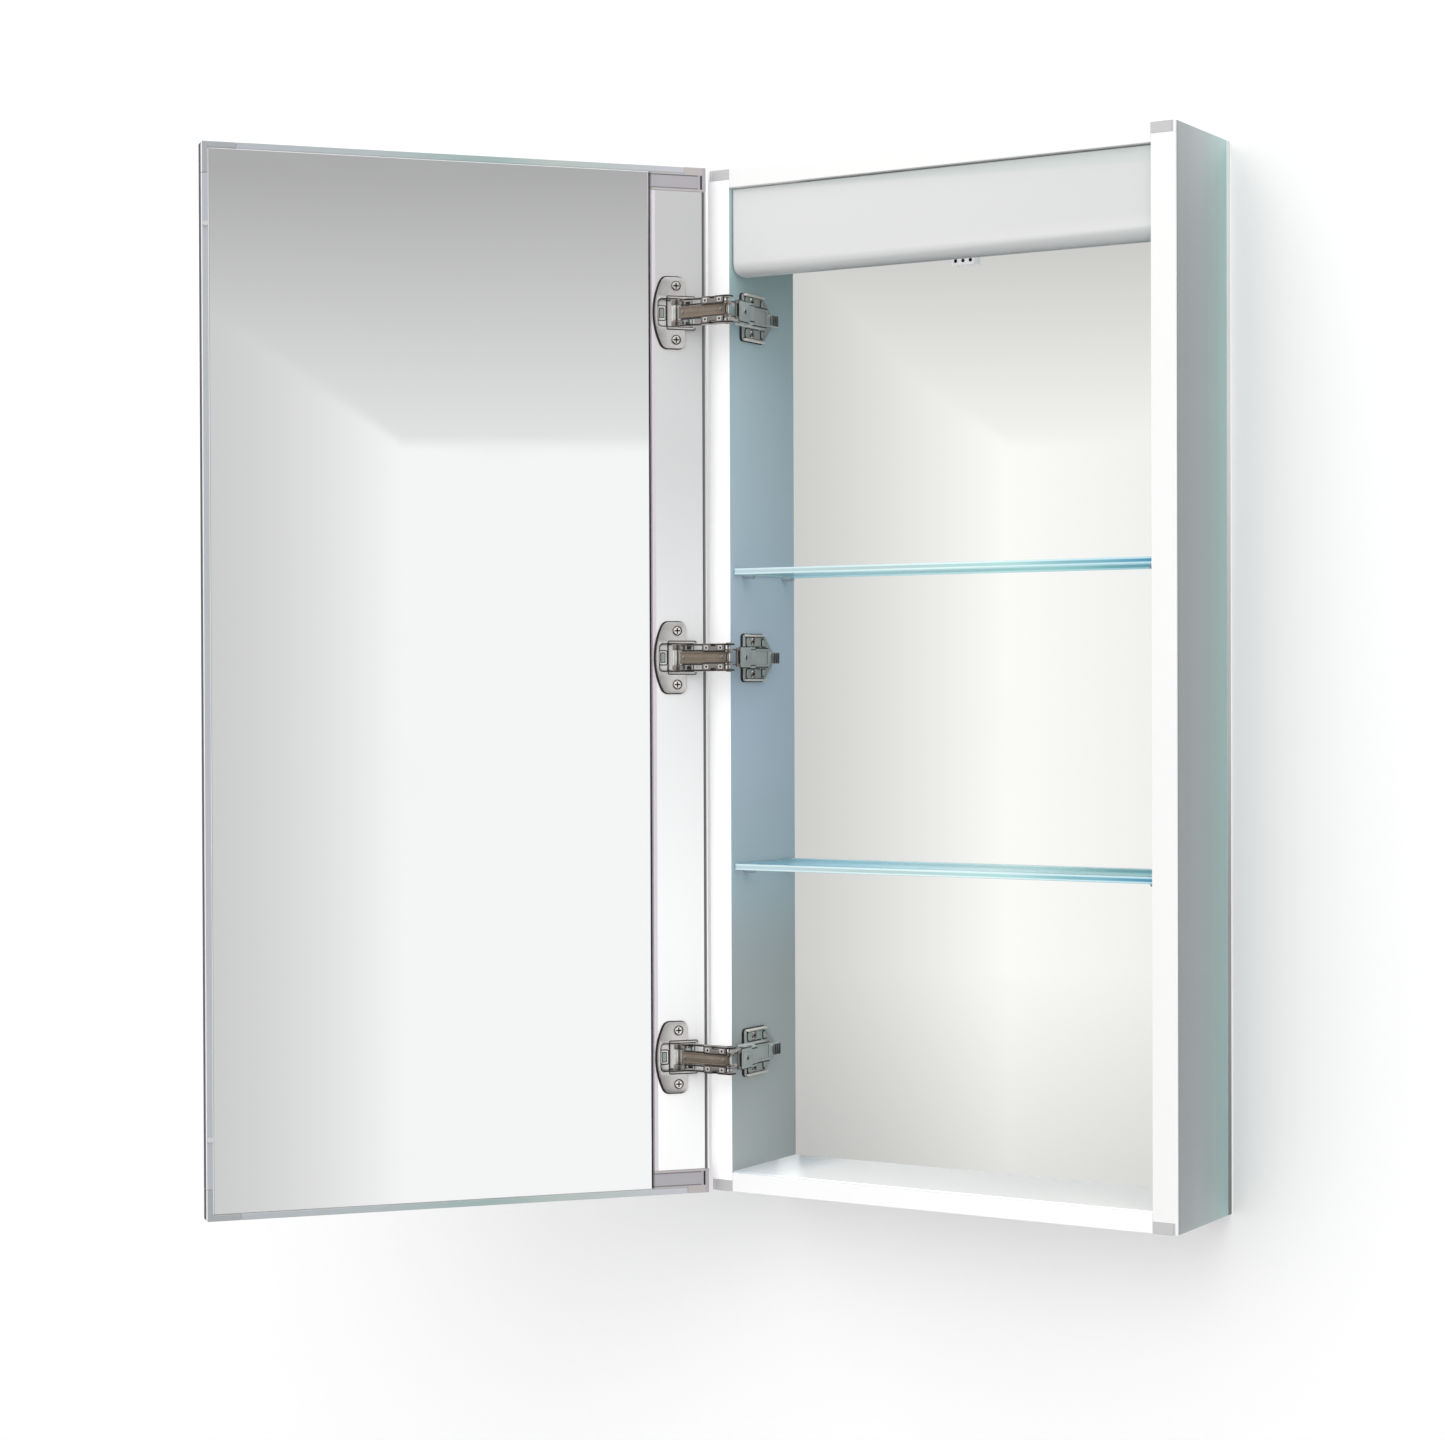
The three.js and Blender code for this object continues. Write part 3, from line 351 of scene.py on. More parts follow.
def side_mirror_material():
    """The mirrored sides, with a painted reflection in their base colour: dark grey at the front, turning green
    towards the wall.
    """
    material, t, sockets = shader("side mirror with painted reflection", Metallic=1.0)
    y = t.place_parts()[1]
    depth = t.span(y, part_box("side_mirror_right")[0][1], 0.0, smooth=False)
    # Painted reflection: grey at the front, green towards the wall.
    colour = t.ramp(depth, [
        (0.00, (0.27, 0.30, 0.30)), (0.05, (0.33, 0.35, 0.36)), (0.50, (0.375, 0.435, 0.435)),
        (0.70, (0.395, 0.50, 0.485)), (0.84, (0.39, 0.555, 0.545)), (1.00, (0.40, 0.57, 0.56))])
    t.links.new(colour, sockets["Base Color"])
    made = t.add("ShaderNodeGroup", node_tree=FILM)
    made.inputs["Clean"].default_value = 0.12
    made.inputs["Filmed"].default_value = 0.2
    t.links.new(made.outputs[0], sockets["Roughness"])
    return material


def inner_wall_material():
    """Blue-grey satin coat on the inside of the sides, with painted shade by height. The mirrors show it in a
    paler painted grey.
    """
    material, t, sockets = shader("blue grey inner wall with painted shade", Roughness=0.45)
    # Painted shade by height: darker at the top, under the box, and greyer towards the foot.
    wall = height_colour(t, LOW.z, HIGH.z, [
        (0.00, (0.48, 0.53, 0.53)), (0.20, (0.47, 0.535, 0.545)), (0.33, (0.50, 0.65, 0.73)),
        (0.45, (0.55, 0.69, 0.81)), (0.78, (0.575, 0.745, 0.825)), (0.84, (0.54, 0.71, 0.76)),
        (0.90, (0.485, 0.655, 0.67))])
    # Painted reflection: rays from the mirrors see a pale grey in place of the coat.
    mirrored = t.add("ShaderNodeLightPath").outputs["Is Glossy Ray"]
    t.links.new(t.mix(mirrored, wall, (0.72, 0.72, 0.68, 1.0)), sockets["Base Color"])
    fine_grain(t, sockets, 700.0, 0.2, 0.00002)
    return material


def shelf_glass_material(node, painted_reflection_share, painted_highlight_share):
    """Tinted glass with a painted reflection that changes across it, and a painted highlight along its rear edge.
    Light passes to what lies under it.
    """
    material, t, sockets = shader("tinted glass of " + node, Roughness=0.1, Specular_IOR_Level=0.0)
    low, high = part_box(node)
    x, y, _ = t.place_parts()
    # Painted reflection: what the glass reflects, from left to right.
    painted_reflection = t.ramp(t.span(x, low[0], high[0], smooth=False), [
        (0.00, (0.22, 0.45, 0.62)), (0.20, (0.30, 0.60, 0.80)), (0.42, (0.55, 0.78, 0.88)),
        (0.58, (0.80, 0.90, 0.92)), (0.85, (0.30, 0.45, 0.42)), (1.00, (0.26, 0.42, 0.38))])
    # Painted highlight: a bright band along the rear edge.
    rear = t.span(y, high[1] - 0.013, high[1] - 0.009)
    t.links.new(t.mix(rear, painted_reflection, (0.86, 0.97, 0.98, 1.0)), sockets["Base Color"])
    film = t.add("ShaderNodeGroup", node_tree=FILM)
    t.links.new(film.outputs[0], sockets["Roughness"])
    clear = t.add("ShaderNodeBsdfTransparent", {0: (0.80, 0.93, 0.95, 1.0)})
    share = t.span(rear, 0.0, 1.0, painted_reflection_share, painted_highlight_share, smooth=False)
    seen = t.add("ShaderNodeMixShader", {0: share, 1: clear.outputs[0],
                                         2: t.nodes["Principled BSDF"].outputs[0]})
    through = t.add("ShaderNodeBsdfTransparent", {0: (0.93, 0.98, 0.98, 1.0)})
    path = t.add("ShaderNodeLightPath").outputs
    passes = t.math("MAXIMUM", path["Is Shadow Ray"], path["Is Diffuse Ray"])
    both = t.add("ShaderNodeMixShader", {0: passes, 1: seen.outputs[0], 2: through.outputs[0]})
    t.links.new(both.outputs[0], t.nodes["Material Output"].inputs[0])
    return material


def shelf_rim_material(node):
    """Polished rim: painted highlights along both edges, and tinted between them, deeper to the right."""
    material, t, sockets = shader("polished rim of " + node, Roughness=0.12, Coat_Weight=0.5)
    low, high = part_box(node)
    x, _, z = t.place_parts()
    across = t.span(x, low[0], high[0], smooth=False)
    tint = t.ramp(across, [(0.0, (0.50, 0.66, 0.72)), (0.35, (0.46, 0.62, 0.62)), (0.65, (0.42, 0.68, 0.66)),
                           (0.85, (0.18, 0.42, 0.50)), (1.0, (0.06, 0.27, 0.42))])
    # Painted highlights: the pale colour along the top and bottom edges.
    pale = t.ramp(across, [(0.0, (0.66, 0.82, 0.86)), (0.5, (0.74, 0.92, 0.92)), (1.0, (0.50, 0.74, 0.82))])
    height = t.span(z, low[2], high[2], smooth=False)
    middle = t.math("MULTIPLY", t.span(height, 0.22, 0.34), t.span(height, 0.80, 0.66))
    t.links.new(t.mix(middle, pale, tint), sockets["Base Color"])
    made = t.add("ShaderNodeGroup", node_tree=GRAIN)
    made.inputs["Roughness"].default_value = 0.12
    t.links.new(made.outputs["Roughness"], sockets["Roughness"])
    return material


def hinge_strip_material():
    """Pale satin strip, with painted shade making it greyer towards its top. A painted shadow line marks its
    groove, and a painted lilac highlight runs along its edge away from the hinge.
    """
    material, t, sockets = shader("pale hinge strip with painted shade", Roughness=0.35, Specular_IOR_Level=0.4)
    # Painted shade: greyer towards the top.
    colour = height_colour(t, LOW.z, HIGH.z, [
        (0.00, (1.00, 1.00, 1.00)), (0.22, (1.00, 1.00, 1.00)), (0.50, (0.87, 0.87, 0.875)),
        (0.75, (0.685, 0.685, 0.69)), (0.97, (0.54, 0.54, 0.545))])
    across = t.from_door_edge()
    # Painted lilac highlight along the edge.
    colour = t.mix(t.span(across, *STRIP_EDGE_HIGHLIGHT), colour, (0.72, 0.66, 0.72, 1.0))
    # Painted shadow line for the groove.
    groove = t.math("MULTIPLY", t.span(across, STRIP_GROOVE_SHADOW[0], STRIP_GROOVE_SHADOW[0] + 0.0003),
                    t.span(across, STRIP_GROOVE_SHADOW[1] + 0.0003, STRIP_GROOVE_SHADOW[1]))
    colour = t.mix(groove, colour, (0.17, 0.165, 0.17, 1.0))
    t.links.new(colour, sockets["Base Color"])
    fine_grain(t, sockets, 600.0, 0.2, 0.00002)
    return material


def glowing_coat_material(name, node, top, foot):
    """White paint with a painted glow, from `foot` at its foot to `top` at its top, that keeps it bright where
    little light comes in.
    """
    material, t, sockets = shader(name, Roughness=0.42, Emission_Strength=1.0)
    low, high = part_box(node)
    z = t.place_parts()[2]
    # Painted light: the glow, by height.
    t.links.new(t.span(z, low[2], high[2], foot, top, smooth=False), sockets["Emission Color"])
    t.links.new(t.mix(t.cloud(), grey(0.955), grey(0.98)), sockets["Base Color"])
    fine_grain(t, sockets, 650.0, 0.25, 0.00003)
    return material


def liner_material():
    """The white inner floor, with a painted glow, and a painted blue-grey reflection of the wall at its left."""
    material, t, sockets = shader("glowing smooth white liner with painted reflection", Roughness=0.3, Emission_Strength=1.0)
    low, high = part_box("floor_liner")
    x = t.place_parts()[0]
    across = t.span(x, low[0], high[0], smooth=False)
    # Painted reflection of the blue-grey wall, near the left.
    tint = t.ramp(across, [(0.00, (0.50, 0.57, 0.62)), (0.07, (0.66, 0.73, 0.77)),
                           (0.16, (0.96, 0.96, 0.96)), (1.00, (0.96, 0.96, 0.95))])
    t.links.new(tint, sockets["Base Color"])
    # Painted light: a glow, weaker at the left.
    glow = t.ramp(across, [(0.00, (0.10, 0.10, 0.10)), (0.16, (0.20, 0.20, 0.20)),
                           (1.00, (0.17, 0.17, 0.165))])
    t.links.new(glow, sockets["Emission Color"])
    fine_grain(t, sockets, 300.0, 0.25, 0.00001)
    return material


def door_frame_material(name, stops, **values):
    """Satin door frame. Its tone changes slowly from the free side (0) to the hinge side (1)."""
    material, t, sockets = shader(name, Roughness=0.35, **values)
    across = t.span(t.from_door_edge(), 0.0, DOOR_WIDTH, 1.0, 0.0, smooth=False)
    t.links.new(t.ramp(across, stops), sockets["Base Color"])
    made = fine_grain(t, sockets, 700.0, 0.25, 0.00003)
    made.inputs["Roughness"].default_value = 0.38
    t.links.new(made.outputs["Roughness"], sockets["Roughness"])
    return material


def rear_lip_material():
    """The edge along the wall, white, with a painted reflection: pale at its top, and dark towards its foot."""
    material, t, sockets = shader("rear edge", Roughness=0.3)
    # Painted reflection by height.
    colour = height_colour(t, LOW.z, HIGH.z, [
        (0.00, (0.10, 0.105, 0.105)), (0.25, (0.22, 0.225, 0.225)), (0.50, (0.40, 0.41, 0.41)),
        (0.80, (0.62, 0.63, 0.63)), (1.00, (0.66, 0.71, 0.70))])
    t.links.new(colour, sockets["Base Color"])
    fine_grain(t, sockets, 650.0, 0.2, 0.00002)
    return material


def spangled_steel_material():
    """Galvanised sheet, with the zinc's crystals in slightly different greys."""
    material, t, sockets = shader("galvanised sheet", Metallic=0.85)
    place = t.place()
    cells = t.add("ShaderNodeTexVoronoi", {"Vector": place, "Scale": 110.0}).outputs["Color"]
    tone = t.add("ShaderNodeSeparateColor", {0: cells}).outputs[0]
    t.links.new(t.mix(tone, grey(0.46), grey(0.60)), sockets["Base Color"])
    t.links.new(t.span(tone, 0.0, 1.0, 0.32, 0.5, smooth=False), sockets["Roughness"])
    bump(t, sockets, tone, 0.1, 0.00004)
    return material


def board_material():
    """Fibre board: pale brown with short fibres."""
    material, t, sockets = shader("fibre board", Roughness=0.9)
    place = t.place()
    fibres = t.add("ShaderNodeTexNoise", {"Vector": place, "Scale": 500.0, "Detail": 6.0}).outputs[0]
    t.links.new(t.mix(fibres, (0.36, 0.27, 0.17, 1.0), (0.58, 0.47, 0.33, 1.0)), sockets["Base Color"])
    bump(t, sockets, fibres, 0.4, 0.0001)
    return material


WHITE_COAT = grained("white powder coat", (0.90, 0.90, 0.895, 1.0), 0.42, 650.0, 0.00003)
FOOT_COAT = glowing_coat_material("white powder coat of the foot", "bottom_profile", 0.0, 0.0)
# The left side glows a little: painted light where the open door keeps light off it.
GLOWING_LEFT_COAT = glowing_coat_material("glowing white powder coat of the left side", "side_profile_left", 0.08, 0.19)
CORNER_GREY = grained("light grey corner plastic", (0.55, 0.55, 0.55, 1.0), 0.5, 900.0, 0.00006)
DOOR_RAIL = door_frame_material("pale satin rail", [
    (0.00, (0.52, 0.54, 0.58)), (0.30, (0.50, 0.55, 0.57)), (0.55, (0.40, 0.52, 0.50)),
    (0.70, (0.53, 0.60, 0.58)), (1.00, (0.62, 0.62, 0.68))], Metallic=0.35)
CAP_LILAC = door_frame_material("grey cap", [
    (0.0, (0.36, 0.375, 0.385)), (0.2, (0.36, 0.375, 0.385)), (0.6, (0.42, 0.40, 0.43)),
    (1.0, (0.42, 0.40, 0.43))])
CAP_LIP = grained("beige lip of the cap", (0.49, 0.46, 0.45, 1.0), 0.4, 900.0, 0.00004)
CAP_SHADE = grained("shaded border of the cap", (0.21, 0.20, 0.23, 1.0), 0.5, 900.0, 0.00004)
LINER_WHITE = liner_material()
# The outlet glows: painted light under the box.
GLOWING_OUTLET_WHITE = glowing_coat_material("glowing white moulding of the outlet", "outlet", 0.2, 0.25)
TERMINAL_WHITE = grained("milky terminal plastic", (0.84, 0.84, 0.80, 1.0), 0.45, 900.0, 0.00004)
RUBBER = grained("black rubber", (0.03, 0.03, 0.032, 1.0), 0.8, 1200.0, 0.00008)
LEAD_GREY = grained("grey cable sheath", (0.55, 0.55, 0.55, 1.0), 0.5, 1200.0, 0.00004)
BUMPER = grained("milky bumper", (0.72, 0.74, 0.73, 1.0), 0.4, 900.0, 0.00002, Transmission_Weight=0.3)
# Near-black: painted shade in the outlet's holes and the cap's slit, and the door core's inner face.
SLOT_DARK = grained("dark slot", (0.03, 0.03, 0.03, 1.0), 0.7, 900.0, 0.00002)
MIRROR_BACKING = grained("grey mirror backing", (0.34, 0.36, 0.37, 1.0), 0.7, 500.0, 0.00006)
GLASS_RIM = grained("polished glass rim", (0.42, 0.62, 0.58, 1.0), 0.15, 900.0, 0.00001, Coat_Weight=0.6)
DARK_RIM_AND_SHADE = grained("dark glass rim and painted shade", (0.07, 0.055, 0.075, 1.0), 0.6, 900.0, 0.00001)
PEG_BLUE = grained("blue grey peg", (0.35, 0.43, 0.48, 1.0), 0.45, 900.0, 0.00002)
NICKEL = rolled("satin nickel", (0.74, 0.72, 0.71, 1.0), 0.5, 0.30)
# A brighter copy of the plate's metal for its lips: a painted highlight.
HIGHLIGHT_NICKEL = rolled("lip nickel with painted highlight", (0.86, 0.84, 0.78, 1.0), 0.2, 0.3, Metallic=0.2)
DULL_NICKEL = rolled("dull nickel", (0.42, 0.47, 0.46, 1.0), 0.35, 0.36)
PLATE_NICKEL = rolled("plated steel", (0.50, 0.57, 0.55, 1.0), 0.3, 0.38, Metallic=0.25)
PRESSED_NICKEL = rolled("pressed nickel", (0.36, 0.34, 0.32, 1.0), 0.8, 0.3)
BRIGHT_NICKEL = rolled("bright nickel", (0.86, 0.84, 0.80, 1.0), 0.25, 0.2)
BRONZE = rolled("bronze plate", (0.36, 0.295, 0.235, 1.0), 0.5, 0.27)
# Dark steel for the springs and pins, and painted shade: shadow lines under plates, dark edges, gaps and screw
# recesses.
DARK_STEEL_AND_SHADE = rolled("dark spring steel and painted shade", (0.07, 0.06, 0.058, 1.0), 0.6, 0.38)
BOX_GREY = box_material()
REAR_LIP = rear_lip_material()
STEEL = spangled_steel_material()
BOARD = board_material()
DOOR_MIRROR = silvered("door mirror", (0.955, 0.96, 0.96, 1.0))
BACK_MIRROR = silvered("back mirror", (0.97, 0.972, 0.945, 1.0))
SIDE_MIRROR = side_mirror_material()
INNER_WALL = inner_wall_material()
SHELF_GLASS = {"upper": shelf_glass_material("shelf_upper", 0.10, 0.25),
               "lower": shelf_glass_material("shelf_lower", 0.42, 0.85)}
SHELF_RIMS = {name: shelf_rim_material("shelf_" + name) for name in ("upper", "lower")}
HINGE_STRIP = hinge_strip_material()


# ------------------------------------------------------------------ room, stage and lamps

# What a mirror sees of the room, as angles in degrees. Azimuth is from +X towards +Y.
# Each view has a soft corner between a side wall and a facing wall, and a ceiling.
DOOR_VIEW = {"Corner": -27.75, "Reach": 4.1, "Bend": 1.5, "Side": 0.62, "Facing": 0.95, "Fade": 0.0,
             "Ceiling Top": 0.43, "Ceiling Edge": 0.80, "Floor": 1.0}
BACK_VIEW = {"Corner": -116.05, "Reach": 4.0, "Bend": 1.1, "Side": 0.64, "Facing": 1.0, "Fade": 0.033,
             "Ceiling Top": 0.50, "Ceiling Edge": 0.93, "Floor": 0.79}
VIEWS_PART = -75.0  # azimuth between the two views
CEILING_EDGE = 4.72
CEILING_TOP = 9.95
CEILING_SLOPE = 0.7  # rise of the ceiling's edge along the side wall
FLOOR_EDGE = -5.4
FLOOR_END = -9.2

# How bright the rest of the room is, all round and from floor to ceiling: (degrees, share)
ROOM_ROUND = [(-180, 0.8), (-132, 1.0), (-107, 1.0), (-97, 0.35), (-50, 0.35), (-38, 1.0), (-14, 1.0),
              (8, 0.5), (180, 0.5)]
ROOM_HEIGHT = [(-90, 0.12), (-30, 0.16), (-13, 1.0), (90, 1.0)]
CEILING_LAMPS = 2.2
LAMPS_BETWEEN = (15.0, 32.0)
LIGHT_REACH = 50.0  # the plain light is steady beyond this, up and down


def room_view_group():
    """What is seen at an azimuth and an elevation, in a view of the room towards one corner."""
    tree, t, given, out = group(
        "view of the room",
        [("Azimuth", 0.0), ("Elevation", 0.0), ("Corner", 0.0), ("Reach", 3.0), ("Bend", 1.0), ("Side", 0.6),
         ("Facing", 0.9), ("Fade", 0.0), ("Ceiling Top", 0.4), ("Ceiling Edge", 0.8), ("Floor", 1.0)],
        [("Value", "NodeSocketFloat")])
    from_corner = t.math("SUBTRACT", given["Azimuth"], given["Corner"])
    back = t.math("SUBTRACT", 0.0, given["Reach"])
    near = t.math("POWER", t.span(from_corner, back, 0.0, smooth=False), given["Bend"])
    wall = t.span(near, 0.0, 1.0, given["Side"], given["Facing"], smooth=False)
    past = t.math("MULTIPLY", t.math("MAXIMUM", from_corner, 0.0), given["Fade"])
    wall = t.math("MULTIPLY", wall, t.math("SUBTRACT", 1.0, past))
    low = t.span(given["Elevation"], FLOOR_EDGE, FLOOR_END, 1.0, given["Floor"], smooth=False)
    wall = t.math("MULTIPLY", wall, low)
    lifted = t.math("MULTIPLY", t.math("MINIMUM", from_corner, 0.0), -CEILING_SLOPE)
    edge = t.math("ADD", lifted, CEILING_EDGE)
    above = t.math("SUBTRACT", given["Elevation"], edge)
    shade = t.span(given["Elevation"], CEILING_EDGE, CEILING_TOP, given["Ceiling Edge"],
                   given["Ceiling Top"], smooth=False)
    ceiling = t.span(above, -0.1, 0.25)
    seen = t.add("ShaderNodeMix", {0: ceiling, 2: wall, 3: t.math("MINIMUM", wall, shade)})
    t.links.new(seen.outputs[0], out["Value"])
    return tree


def by_angle(t, angle, reach, stops):
    """A value for each stop (degrees, value), from -reach to reach degrees."""
    share = t.span(angle, -reach, reach, smooth=False)
    return t.ramp(share, [((stop + reach) / (2 * reach), (value,) * 3) for stop, value in stops])


def set_room():
    """Plain soft light, more from above. Mirrors and metal see a pale room instead."""
    world = bpy.data.worlds.new("pale room")
    bpy.context.scene.world = world
    world.use_nodes = True
    t = Tree(world.node_tree)
    direction = t.add("ShaderNodeTexCoord").outputs["Generated"]
    x, y, z = t.add("ShaderNodeSeparateXYZ", {0: direction}).outputs
    azimuth = t.math("DEGREES", t.math("ARCTAN2", y, x))
    elevation = t.math("DEGREES", t.math("ARCSINE", z))
    below, level, above = ROOM_LIGHT
    plain = t.nodes["Background"]
    plain.inputs["Strength"].default_value = above
    stops = [(-LIGHT_REACH, below / above), (0, level / above), (LIGHT_REACH, 1.0)]
    t.links.new(by_angle(t, elevation, LIGHT_REACH, stops), plain.inputs["Color"])
    tree = room_view_group()
    views = []
    for view in (BACK_VIEW, DOOR_VIEW):
        made = t.add("ShaderNodeGroup", node_tree=tree)
        t.links.new(azimuth, made.inputs["Azimuth"])
        t.links.new(elevation, made.inputs["Elevation"])
        for key, value in view.items():
            made.inputs[key].default_value = value
        views.append(made.outputs[0])
    which = t.math("GREATER_THAN", azimuth, VIEWS_PART)
    seen = t.add("ShaderNodeMix", {0: which, 2: views[0], 3: views[1]}).outputs[0]
    seen = t.math("MULTIPLY", seen, by_angle(t, azimuth, 180.0, ROOM_ROUND))
    seen = t.math("MULTIPLY", seen, by_angle(t, elevation, 90.0, ROOM_HEIGHT))
    seen = t.math("MULTIPLY", seen, t.span(elevation, *LAMPS_BETWEEN, 1.0, CEILING_LAMPS))
    room = t.add("ShaderNodeBackground", {0: seen, 1: 1.0}).outputs[0]
    white = t.add("ShaderNodeBackground", {0: (1.0, 1.0, 1.0, 1.0), 1: 1.0}).outputs[0]
    path = t.add("ShaderNodeLightPath").outputs
    lit = t.add("ShaderNodeMixShader", {0: path["Is Glossy Ray"], 1: plain.outputs[0], 2: room})
    shown = t.math("MAXIMUM", path["Is Camera Ray"], path["Is Transmission Ray"])
    both = t.add("ShaderNodeMixShader", {0: shown, 1: lit.outputs[0], 2: white})
    t.links.new(both.outputs[0], t.nodes["World Output"].inputs[0])


def stage_material(name, shade, one_sided):
    """Plain paint. The wall lets light and sight through from behind."""
    material = bpy.data.materials.new(name)
    material.use_nodes = True
    t = Tree(material.node_tree)
    t.nodes.remove(t.nodes["Principled BSDF"])
    surface = t.add("ShaderNodeBsdfDiffuse", {0: grey(shade)}).outputs[0]
    if one_sided:
        path = t.add("ShaderNodeLightPath").outputs
        shown = t.math("MAXIMUM", path["Is Camera Ray"],
                       t.math("MAXIMUM", path["Is Glossy Ray"], path["Is Transmission Ray"]))
        clear = t.add("ShaderNodeBsdfTransparent").outputs[0]
        back = t.add("ShaderNodeNewGeometry").outputs["Backfacing"]
        solid = t.math("MULTIPLY", shown, t.math("SUBTRACT", 1.0, back))
        surface = t.add("ShaderNodeMixShader", {0: solid, 1: clear, 2: surface}).outputs[0]
    t.links.new(surface, t.nodes["Material Output"].inputs[0])
    return material


def make_plane(name, corners, material):
    mesh = bpy.data.meshes.new(name)
    mesh.from_pydata(corners, [], [range(4)])
    mesh.materials.append(material)
    plane = bpy.data.objects.new(name, mesh)
    bpy.context.collection.objects.link(plane)
    return plane


def set_stage():
    reach, y, floor = STAGE_REACH, WALL_CLEARANCE, LOW.z - FLOOR_DROP
    make_plane("stage wall", [(-reach, y, floor), (reach, y, floor), (reach, y, reach), (-reach, y, reach)],
               stage_material("white wall", 0.97, True))
    ground = make_plane("stage floor", [(-reach, -reach, floor), (reach, -reach, floor),
                                        (reach, reach, floor), (-reach, reach, floor)],
                        stage_material("pale floor", 0.5, False))
    ground.visible_glossy = False


def add_lamp(name, place, aim, size, power):
    lamp = bpy.data.lights.new(name, "AREA")
    lamp.shape = "DISK"
    lamp.size = size
    lamp.energy = power
    holder = bpy.data.objects.new(name, lamp)
    holder.location = place
    holder.rotation_euler = (Vector(aim) - Vector(place)).to_track_quat("-Z", "Y").to_euler()
    holder.visible_glossy = False
    bpy.context.collection.objects.link(holder)


def set_camera():
    yaw, pitch, roll = (math.radians(a) for a in (CAMERA_YAW, CAMERA_PITCH, CAMERA_ROLL))
    ahead = Vector((math.sin(yaw) * math.cos(pitch), math.cos(yaw) * math.cos(pitch), math.sin(pitch)))
    level = Vector((math.cos(yaw), -math.sin(yaw), 0.0))
    upright = level.cross(ahead)
    right = level * math.cos(roll) + upright * math.sin(roll)
    up = upright * math.cos(roll) - level * math.sin(roll)
    lens = bpy.data.cameras.new("camera")
    lens.lens = CAMERA_LENS
    lens.sensor_width = 36.0
    lens.shift_y = CAMERA_SHIFT_Y
    camera = bpy.data.objects.new("camera", lens)
    camera.matrix_world = Matrix.Translation(CAMERA_PLACE) @ Matrix((right, up, -ahead)).transposed().to_4x4()
    bpy.context.collection.objects.link(camera)
    bpy.context.scene.camera = camera


set_room()
set_stage()
set_camera()
add_lamp("front lamp", (0.2, -2.6, 1.0), (0.0, 0.0, 0.0), 2.0, FRONT_LAMP_POWER)
add_lamp("top lamp", (-0.6, -1.0, 2.0), (0.0, 0.0, 0.0), 1.6, TOP_LAMP_POWER)
bpy.context.scene.view_settings.view_transform = "Standard"


# ------------------------------------------------------------------ mesh helpers

def merged_copy(node):
    """A bmesh of a CAD node's solid, with its loose triangles joined."""
    bm = bmesh.new()
    bm.from_mesh(frame["nodes"][node].data)
    bmesh.ops.remove_doubles(bm, verts=bm.verts, dist=1e-6)
    bmesh.ops.dissolve_limit(bm, angle_limit=math.radians(0.5), verts=bm.verts, edges=bm.edges)
    return bm


def smooth_by_angle(mesh, degrees=35.0):
    mesh.shade_smooth()
    mesh.set_sharp_from_angle(angle=math.radians(degrees))


def finish_piece(name, mesh, nodes, bevel=None, segments=2):
    """Puts a mesh in the scene as the piece that stands for CAD nodes, on their body."""
    smooth_by_angle(mesh)
    piece = bpy.data.objects.new(name, mesh)
    bpy.context.collection.objects.link(piece)
    piece.visible_glossy = False
    if bevel:
        rounding = piece.modifiers.new("rounded edges", "BEVEL")
        rounding.width = bevel
        rounding.segments = segments
        rounding.limit_method = "ANGLE"
        rounding.angle_limit = math.radians(40.0)
        rounding.harden_normals = True
        rounding.use_clamp_overlap = True
    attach(piece, BODY_OF[nodes[0]])
    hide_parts(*nodes)
    return piece


def refine(node, materials, choose=None, bevel=PROFILE_EDGE, segments=2, cuts=(), shape=None):
    """The CAD node with rounded edges. `choose` gives each face its material by its place.

    `cuts` are planes (place, normal) that part its faces, and `shape` changes the mesh itself.
    """
    bm = merged_copy(node)
    for place, normal in cuts:
        bmesh.ops.bisect_plane(bm, geom=bm.verts[:] + bm.edges[:] + bm.faces[:], dist=1e-6,
                               plane_co=place, plane_no=normal)
    bm.normal_update()
    if shape:
        shape(bm)
        bm.normal_update()
    if choose:
        for face in bm.faces:
            face.material_index = choose(face.normal, face.calc_center_median())
    mesh = bpy.data.meshes.new(node + " refined")
    bm.to_mesh(mesh)
    bm.free()
    for material in materials:
        mesh.materials.append(material)
    return finish_piece(node + "_finished", mesh, [node], bevel, segments)


# ------------------------------------------------------------------ shapes in millimetres

def arc(centre, radius, start, end, count):
    """Points on an arc, from `start` to `end` degrees."""
    turns = [math.radians(start + (end - start) * i / count) for i in range(count + 1)]
    return [(centre[0] + radius * math.cos(a), centre[1] + radius * math.sin(a)) for a in turns]


def rounded(corners, steps=5):
    """An outline from corners (x, y, radius). A corner of no radius stays sharp."""
    points = []
    for i, (x, y, radius) in enumerate(corners):
        here = Vector((x, y))
        before = (Vector(corners[i - 1][:2]) - here).normalized()
        after = (Vector(corners[(i + 1) % len(corners)][:2]) - here).normalized()
        half = before.angle(after) / 2
        if radius == 0 or abs(half - math.pi / 2) < 0.01:
            points.append((x, y))
            continue
        middle = here + (before + after).normalized() * radius / math.sin(half)
        first = here + before * radius / math.tan(half) - middle
        sweep = first.angle_signed(here + after * radius / math.tan(half) - middle)
        for step in range(steps + 1):
            spoke = first.copy()
            spoke.rotate(Matrix.Rotation(-sweep * step / steps, 2))
            points.append(tuple(middle + spoke))
    return points


def circle(x, y, radius, count=20):
    return arc((x, y), radius, 0, 360 * (count - 1) / count, count - 1)


def oblong(x0, x1, y0, y1, radius):
    return rounded([(x0, y0, radius), (x1, y0, radius), (x1, y1, radius), (x0, y1, radius)], 4)


